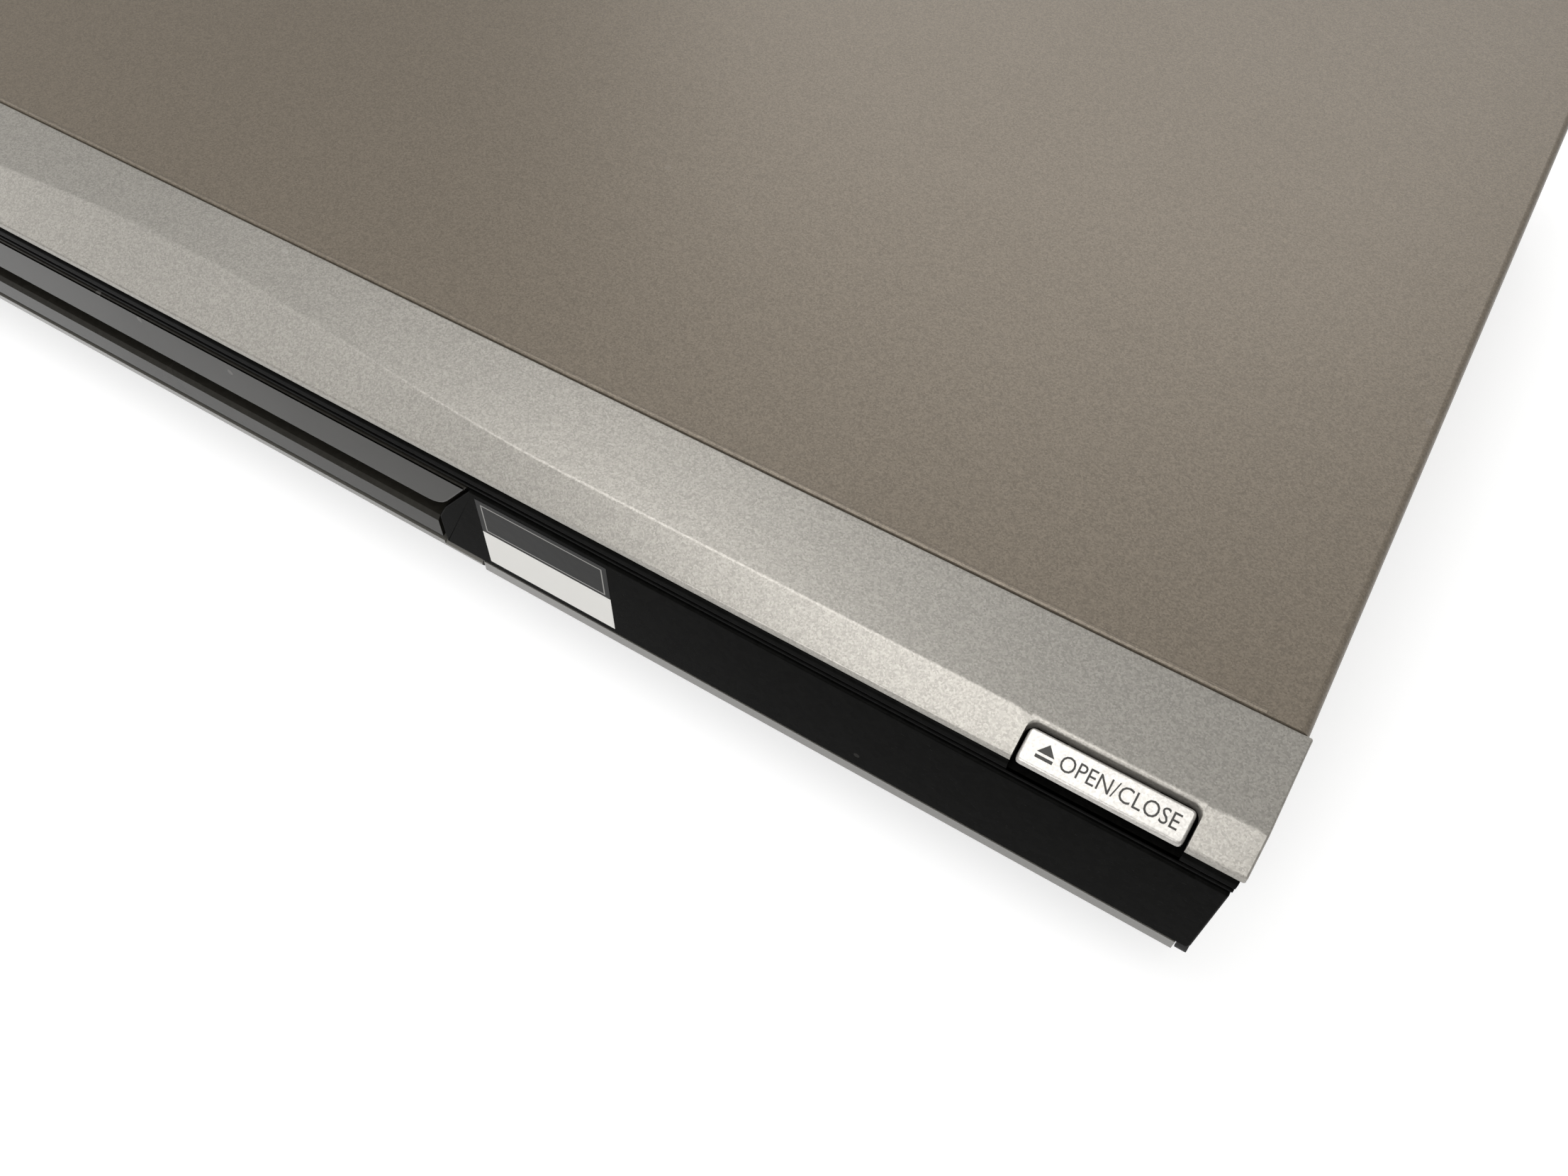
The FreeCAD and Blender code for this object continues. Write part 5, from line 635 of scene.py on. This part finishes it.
def along_x(x, sections):
    """Rings in space from sections in YZ, one at each x."""
    return np.concatenate([np.broadcast_to(x[:, None, None], (*sections.shape[:2], 1)), sections], -1)


key_spans = []
for node in ("power_button", "open_close_button"):
    key_low, key_high = corners_of(node)
    key_spans.append((key_low[0] - button_gap, key_high[0] + button_gap))
notch_rear = fascia_front + 4.8 + button_gap
notches = [notch_stations(start, end, notch_rear, 1.6) for start, end in key_spans]
bar_x, bar_nose = stations_between(-half_width + fascia_wall, half_width - fascia_wall, notches)
bar_rings = along_x(bar_x, rounded(bar_corners(bar_x, bar_nose), [0.1, 0.3, 0.3, 0.4, 0.15, 0.1, 0.1, 0.1]))


def cheek_skin(side):
    """End plate of the bar: its section without the hollow, with the outer rim rolled over."""
    section = bar_corners(np.array([side*half_width]), np.array([fascia_front]))[0, 1:5]
    outline = np.concatenate([section, [[cover_edge - seat_gap, lip_foot]]])
    inset, depth = quarter(0.35)
    levels = [(half_width - d, i) for i, d in zip(inset, depth)] + [(half_width - fascia_wall, 0)]
    ring = rounded(outline, [0.3, 0.3, 0.4, 0.15, 0.15])
    return lofted(stacked(ring, levels, lambda u, v, w: np.stack([side*w, u, v], 1)))


bar_skin = joined([lofted(bar_rings), cheek_skin(-1), cheek_skin(1)])
silver_bar = piece("silver_bar", bar_skin, "casing", silver_plastic, replaced=("fascia",))

# %% [markdown]
# ## The two top keys
# Each key is a small sloped cap with a soft rim, and an arm that reaches back under the bar to its
# switch. The outline is a rectangle with round corners, carried up the side and over the rim. A
# thin printed sign lies on the cap: a triangle over a bar to open, a ring with a stroke for power.

# %% Caps, arms and signs
CAP_SLOPE = 0.5


def cap_height(y):
    """Height of the cap's top at y: it climbs by half a millimetre for each one backwards."""
    return fascia_edge - 0.2 + CAP_SLOPE*(y - fascia_front)


def cap_skin(start, end, foot):
    """Cap of a key between two X: foot ring, then the rim ring by ring down from the sloped top."""
    rear = fascia_front + 4.8
    ring = rounded([(start, fascia_front), (end, fascia_front), (end, rear), (start, rear)], 0.9, 6)
    inset, drop = quarter(0.45, 5)
    over = [(d, i) for i, d in zip(inset, drop)][::-1]
    rim = stacked(ring, over, lambda u, v, w: np.stack([u, v, cap_height(v) - w], 1))
    base = np.stack([ring[:, 0], ring[:, 1], np.full(len(ring), foot)], 1)
    return lofted(np.concatenate([base[None], rim]))


def sheet_on_cap(outline, lift=0.02, thick=0.03):
    """Flat sign printed on the sloped cap: its outline at a small lift, and again a little lower."""
    levels = [(lift, 0), (lift - thick, 0)]
    return lofted(stacked(np.array(outline, float), levels, lambda u, v, w: np.stack([u, v, cap_height(v) + w], 1)))


def arc(centre, radius, start, end, steps=16):
    """Points of a circle arc: centre + r (cos a, sin a)."""
    a = np.linspace(math.radians(start), math.radians(end), steps)
    return np.stack([centre[0] + radius*np.cos(a), centre[1] + radius*np.sin(a)], 1)


def ring_sign(centre, radius, width):
    """Open ring with a gap at the top, as one closed outline: out along the arc and back inside it."""
    outer = arc(centre, radius, 120, 420)
    inner = arc(centre, radius - width, 420, 120)
    return np.concatenate([outer, inner])


def lettering(text, size, start, row, thick=0.03):
    """Letters as closed solids: the flat font outline is extruded, made a mesh, and laid on the sloped cap."""
    curve = bpy.data.curves.new("letters", "FONT")
    curve.body, curve.size, curve.extrude = text, size, thick/2
    curve.resolution_u = 3
    letters = bpy.data.objects.new("letters", curve)
    mesh = bpy.data.meshes.new_from_object(letters)
    flat = np.array([vertex.co[:] for vertex in mesh.vertices])
    faces = [list(polygon.vertices) for polygon in mesh.polygons]
    bpy.data.objects.remove(letters)
    x, y = start + flat[:, 0], row + flat[:, 1]
    return np.stack([x, y, cap_height(y) + flat[:, 2] + 0.01], 1), faces


print_ink = finish("print_ink", (0.035, 0.033, 0.030), 0.5, peel=(900.0, 0.3), smudge=0.1)
key_bodies = {"power_button": "power_key", "open_close_button": "open_close_key"}
for node, body in key_bodies.items():
    low, high = corners_of(node)
    middle = (low[0] + high[0])/2
    foot = fascia_edge - 0.9
    arm = bar((middle - 7, middle + 7), (fascia_front + 4.3, high[1]), (low[2] + 0.5, low[2] + 2.1))
    stem = bar((middle - 7, middle + 7), (fascia_front + 2.5, fascia_front + 4.5), (low[2], fascia_edge))
    skin = joined([cap_skin(low[0], high[0], foot), arm, stem])
    piece(node + "_cap", skin, body, button_silver, replaced=(node,))
    row = fascia_front + 2.4
    if node == "open_close_button":
        at = low[0] + 3.6
        triangle = [(at - 1.35, row - 0.2), (at + 1.35, row - 0.2), (at, row + 1.2)]
        base = [(at - 1.35, row - 1.0), (at + 1.35, row - 1.0), (at + 1.35, row - 0.55), (at - 1.35, row - 0.55)]
        sign = joined([sheet_on_cap(triangle), sheet_on_cap(base), lettering("OPEN/CLOSE", 3.05, at + 2.1, row - 1.05)])
    else:
        stroke = [(middle - 0.22, row), (middle + 0.22, row), (middle + 0.22, row + 1.6), (middle - 0.22, row + 1.6)]
        sign = joined([sheet_on_cap(ring_sign((middle, row), 1.35, 0.4)), sheet_on_cap(stroke)])
    piece(node + "_sign", sign, body, print_ink)

# %% [markdown]
# ## The black lip under the bar
# A gloss lip runs along the whole front between the silver bar and the panels. Its face has a
# narrow groove, and the two thin lines of light in the photograph are the edges of that groove and
# of the top. The section stays the same, apart from the two notches for the keys.

# %% Lip
trim_foot, ledge_top, trim_top = trim_low[2], trim_low[2] + 1.8, trim_high[2]
trim_face, trim_back = trim_low[1], trim_high[1]


def lip_corners(x, lowered):
    """Twelve corners of the lip's section; where it is lowered, nothing stands above the ledge."""
    y = trim_face + np.array([0.9, trim_back - trim_face, trim_back - trim_face, 2.3, 2.3, 0.35, 0, 0, 0.6, 0.6, 0.15, 0.15])
    z = np.array([trim_foot, trim_foot, ledge_top, ledge_top, trim_top, trim_top, trim_top - 0.5, ledge_top + 0.2,
                  ledge_top + 0.2, ledge_top - 0.5, ledge_top - 0.5, trim_foot + 0.6])
    top = np.where(lowered, ledge_top, trim_top)
    heights = np.minimum(z[None, :], top[:, None])
    return np.stack([np.broadcast_to(y, heights.shape), heights], -1)


lip_x, lip_lowered = [trim_low[0], trim_low[0] + 0.2], [False, False]
for start, end in key_spans:
    lip_x += [start, start, end, end]
    lip_lowered += [False, True, True, False]
lip_x += [trim_high[0] - 0.2, trim_high[0]]
lip_lowered += [False, False]
lip_x = np.array(lip_x)
lip_radii = [0.1, 0.1, 0.1, 0.1, 0.2, 0.25, 0.25, 0.22, 0.08, 0.08, 0.18, 0.25]
lip_rings = along_x(lip_x, rounded(lip_corners(lip_x, np.array(lip_lowered)), lip_radii))
piece("front_lip", lofted(lip_rings), "casing", panel_gloss, replaced=("upper_trim",))

# %% [markdown]
# ## Black panels
# The window on the left, the drop-down flap on the right and the tray door between them are gloss
# plates. The door is a trapezium, so the other two have a slanted side that follows it. A plate is
# an outline in X and Z with round corners, stacked along Y, with a rim that rolls over.

# %% Window, flap and door
door_half_top, door_half_foot, centre_half, seam = door_high[0], 72.0, 70.0, 0.6
centre_low, centre_high = corners_of("centre_panel")
panel_radii = [0.4, 1.0, 0.8, 0.5, 0.5, 0.5]


def side_panel(side):
    """Corners of the window or the flap: its inner side follows the slanted end of the door."""
    end = flap_high[0]
    corners = [(centre_half + seam, flap_low[2]), (end, flap_low[2]), (end, flap_high[2]),
               (door_half_top + seam, flap_high[2]), (door_half_foot + seam, door_low[2]),
               (centre_half + seam, centre_high[2] + 1)]
    return [(side*x, z) for x, z in corners]


pane_face, pane_back = flap_low[1] + 0.05, flap_high[1]
clip_reach = window_high[1]
window_skin = [plate(side_panel(-1), pane_face, pane_back, panel_radii, 0.45)]
for clip_x in (-212.3 + 5, -79.3 - 5):
    window_skin.append(bar((clip_x - 2, clip_x + 2), (pane_back - 0.3, clip_reach), (flap_low[2] + 1, flap_low[2] + 3)))
piece("window_pane", joined(window_skin), "casing", panel_gloss, replaced=("window_panel",))
piece("flap_pane", plate(side_panel(1), pane_face, pane_back, panel_radii, 0.45), "flap", flap_gloss,
      replaced=("flap_panel",))
door_corners = [(-door_half_foot, door_low[2]), (door_half_foot, door_low[2]), (door_half_top, door_high[2]),
                (-door_half_top, door_high[2])]
piece("door_plate", plate(door_corners, door_low[1], door_high[1], [3.2, 3.2, 0.5, 0.5], 0.5), "tray",
      door_gloss, replaced=("tray_door",))

# %% [markdown]
# ## Small things that a closer look needs
# The two round keys behind the flap carry a square and a triangle. At the back, each phono jack has
# a coloured ring, and each rear screw has a flat dark cross of painted shade where its cross recess is.

# %% Signs on the round keys
for node, body, turns in (("stop_button", "stop_key", (45, 135, 225, 315)), ("play_button", "play_key", (0, 120, 240))):
    low, high = corners_of(node)
    centre = ((low[0] + high[0])/2, (low[2] + high[2])/2)
    sign = np.array([[centre[0] + 1.7*math.cos(math.radians(turn)), centre[1] + 1.7*math.sin(math.radians(turn))]
                     for turn in turns])
    skin = lofted(stacked(sign, [(low[1] - 0.03, 0), (low[1] + 0.02, 0)], facing_front))
    piece(node + "_sign", skin, body, print_ink)

# %% Coloured rings on the phono jacks
ring_white = finish("ring_white", (0.72, 0.71, 0.68), 0.38, peel=(900.0, 0.3), smudge=0.08)
ring_red = finish("ring_red", (0.50, 0.020, 0.016), 0.38, peel=(900.0, 0.3), smudge=0.08)
ring_yellow = finish("ring_yellow", (0.72, 0.46, 0.02), 0.38, peel=(900.0, 0.3), smudge=0.08)
jack_low, jack_high = corners_of("phono_jacks")
jack_pitch, jack_radius = 14.0, 4.1
panel_outer = corners_of("rear_panel")[1][1]
ring_profile = [(jack_radius + 0.05, 0.0), (jack_radius + 1.9, 0.0), (jack_radius + 1.9, 1.1), (jack_radius + 1.5, 1.5),
                (jack_radius + 0.4, 1.5), (jack_radius + 0.05, 1.2)]


def ring_skin(profile, centre, steps=40):
    """A closed profile of radius and depth swung right round: the last ring of points joins the first."""
    radius, depth = np.array(profile, float).T
    angle = np.arange(steps)/steps*2*math.pi
    x = centre[0] + radius[None, :]*np.cos(angle)[:, None]
    z = centre[2] + radius[None, :]*np.sin(angle)[:, None]
    y = centre[1] + np.repeat(depth[None, :], steps, 0)
    rings = np.stack([x, y, z], -1)
    points, faces = lofted(np.concatenate([rings, rings[:1]]), caps=False)
    count = len(profile)
    return points[:-count], [[corner % (steps*count) for corner in face] for face in faces]


jack_rows = [jack_high[2] - 1.5*jack_pitch + index*jack_pitch for index in range(2)]
jack_columns = [jack_low[0] + jack_pitch/2 + index*jack_pitch for index in range(3)]
print("jack columns", jack_columns, "rows", jack_rows)
for name, column, row, material in (("ring_red_low", 0, 0, ring_red), ("ring_white_high", 0, 1, ring_white),
                                    ("ring_red_middle", 1, 0, ring_red), ("ring_white_middle", 1, 1, ring_white),
                                    ("ring_yellow_high", 2, 1, ring_yellow), ("ring_white_low", 2, 0, ring_white)):
    place = (jack_columns[column], panel_outer + 0.02, jack_rows[row])
    piece(name, ring_skin(ring_profile, place), "casing", material)

# %% Painted shade for the cross recesses in the rear screws
screw_back = corners_of("rear_screws")[1][1]
fan_low, fan_high = corners_of("fan_frame")
fan_middle, fan_reach = (fan_low + fan_high)/2, 0.4*(fan_high[0] - fan_low[0])
lid_seat_step = 1.0
cross_places = [(x, cover_high[2] - 4.25, screw_back) for x in (-2*half_width/3, 0.0, 2*half_width/3)]
cross_places += [(fan_middle[0] + side*fan_reach, fan_middle[2] + end*fan_reach, screw_back - lid_seat_step)
                 for side in (-1, 1) for end in (-1, 1)]
crosses = []
for x, z, back in cross_places:
    crosses.append(bar((x - 1.5, x + 1.5), (back - 0.02, back + 0.03), (z - 0.35, z + 0.35)))
    crosses.append(bar((x - 0.35, x + 0.35), (back - 0.02, back + 0.03), (z - 1.5, z + 1.5)))
# The crosses are thin near-black bars on the screw heads: painted shade standing in for the hollow recess.
painted_recess_shade = finish("painted_recess_shade", (0.008, 0.008, 0.008), 0.6, peel=(1500.0, 0.5), smudge=0.1)
piece("screw_cross_shade", joined(crosses), "casing", painted_recess_shade)

# %% [markdown]
# ## Everything else gets its finish
# The rest of the frame's parts have the right shape already, so each only takes a material.

# %% Materials for the parts of the frame
def dress(material, *names):
    for name in names:
        item = nodes[name]
        if not item.material_slots:
            item.data.materials.append(material)
        for slot in item.material_slots:
            slot.material = material


dress(cover_paint, "top_cover")
dress(zinc_sheet, "bottom_chassis", "clamper_bridge", "traverse_plate")
dress(rear_paint, "rear_panel")
dress(foot_rubber, "feet")
dress(screw_steel, "rear_screws", "inner_screws")
dress(frame_plastic, "front_frame", "card_slot", "key_switches")
dress(strip_clear, "lower_strip", "flap_strip")
dress(door_gloss, "centre_panel")
dress(polished_steel, "flap_hinge_pins", "guide_rods", "lead_screw")
dress(bright_plate, "usb_port", "hdmi_socket", "lan_socket")
dress(button_silver, "stop_button", "play_button")
dress(tray_plastic, "disc_tray")
dress(acetal, "drive_gear", "idler_gear", "motor_pulley")
dress(belt_rubber, "drive_belt")
dress(motor_steel, "tray_motor", "spindle_motor", "sled_motor")
dress(loader_plastic, "loader_base", "traverse_frame")
dress(damper_rubber, "traverse_dampers")
dress(turntable_plastic, "turntable", "clamper")
dress(die_cast, "pickup_sled")
dress(chip_epoxy, "chips")
dress(aluminium, "heat_sink")
dress(winding_tape, "transformer")
dress(sleeve, "power_capacitors")
dress(fan_plastic, "fan_frame", "fan_rotor")
dress(socket_plastic, "optical_socket", "ac_inlet")
dress(nickel_plate, "phono_jacks")
dress(sensor_plastic, "remote_sensor")
dress(board_brown, "power_board")
dress(board_green, "main_board", "small_boards")
dress(display_glass, "display_module")
dress(lens_glass, "pickup_lens")
dress(ribbon_white, "ribbon_cables")
dress(label_vinyl, "flap_label")
print("dressed nodes:", sum(len(item.material_slots) > 0 for item in nodes.values()))

# %% [markdown]
# ## Stage, light and camera
# The player stands on a plain white floor under soft boxes. The floor adds a little light of its
# own for the camera and for reflections, so that it reads as white and still keeps the shadow.

# %% Floor
def make_floor():
    mesh = bpy.data.meshes.new("floor")
    reach = 6.0
    mesh.from_pydata([(-reach, -reach, 0), (reach, -reach, 0), (reach, reach, 0), (-reach, reach, 0)], [], [(0, 1, 2, 3)])
    item = bpy.data.objects.new("floor", mesh)
    bpy.context.scene.collection.objects.link(item)
    material = bpy.data.materials.new("studio_floor")
    material.use_nodes = True
    tree = material.node_tree
    shader = tree.nodes["Principled BSDF"]
    shader.inputs["Base Color"].default_value = (0.55, 0.55, 0.55, 1)
    shader.inputs["Roughness"].default_value = 0.9
    shader.inputs["Specular IOR Level"].default_value = 0.1
    shader.inputs["Emission Color"].default_value = (1, 1, 1, 1)
    paths = add_node(tree, "LightPath")
    seen = sums(tree, "MAXIMUM", paths.outputs["Is Camera Ray"], paths.outputs["Is Glossy Ray"])
    seen = sums(tree, "MAXIMUM", seen, paths.outputs["Is Transmission Ray"])
    wire(tree, sums(tree, "MULTIPLY", seen, 0.62), shader.inputs["Emission Strength"])
    item.data.materials.append(material)
    return item


make_floor()
print("floor laid")

# %% Soft boxes and room
def soft_box(name, place, target, size, power):
    """Square area light at a place, turned to a target, both in metres."""
    data = bpy.data.lights.new(name, "AREA")
    data.shape = "RECTANGLE"
    data.size, data.size_y = size
    data.energy = power
    item = bpy.data.objects.new(name, data)
    bpy.context.scene.collection.objects.link(item)
    item.location = place
    direction = Vector(target) - Vector(place)
    item.rotation_mode = "QUATERNION"
    item.rotation_quaternion = direction.to_track_quat("-Z", "Y")
    return item


from mathutils import Matrix, Vector

soft_box("ceiling_box", (-0.2, -0.42, 1.5), (0.12, -0.1, 0.05), (1.5, 0.6), 13.0)
soft_box("rear_box", (-0.3, 1.6, 1.25), (0.05, 0.0, 0.05), (1.6, 0.8), 8.5)
soft_box("left_box", (-1.5, -0.4, 0.8), (0.0, 0.0, 0.03), (0.8, 0.8), 3.0)
soft_box("front_box", (-0.12, -1.4, 0.78), (0.16, -0.12, 0.04), (0.6, 0.6), 7.0)
room = bpy.data.worlds.new("room")
bpy.context.scene.world = room
room.use_nodes = True
room.node_tree.nodes["Background"].inputs["Color"].default_value = (1.0, 0.99, 0.97, 1)
room.node_tree.nodes["Background"].inputs["Strength"].default_value = 0.42
print("lights:", len(bpy.data.lights))

# %% Camera
camera_data = bpy.data.cameras.new("camera")
camera_data.sensor_fit = "HORIZONTAL"
camera_data.sensor_width = 36.0
camera_data.lens = 29.12
camera_data.clip_start, camera_data.clip_end = 0.01, 20.0
camera = bpy.data.objects.new("camera", camera_data)
bpy.context.scene.collection.objects.link(camera)
to_right = Vector((0.85024, 0.52599, 0.0206))
to_top = Vector((-0.43659, 0.6828, 0.58581))
to_back = to_right.cross(to_top)
camera.matrix_world = Matrix([(*axis, at) for axis, at in zip(zip(to_right, to_top, to_back), (0.19516, -0.21572, 0.20738))]
                             + [(0, 0, 0, 1)])
bpy.context.scene.camera = camera
bpy.context.scene.view_settings.view_transform = "Standard"
print("camera:", tuple(round(part, 4) for part in camera.location))
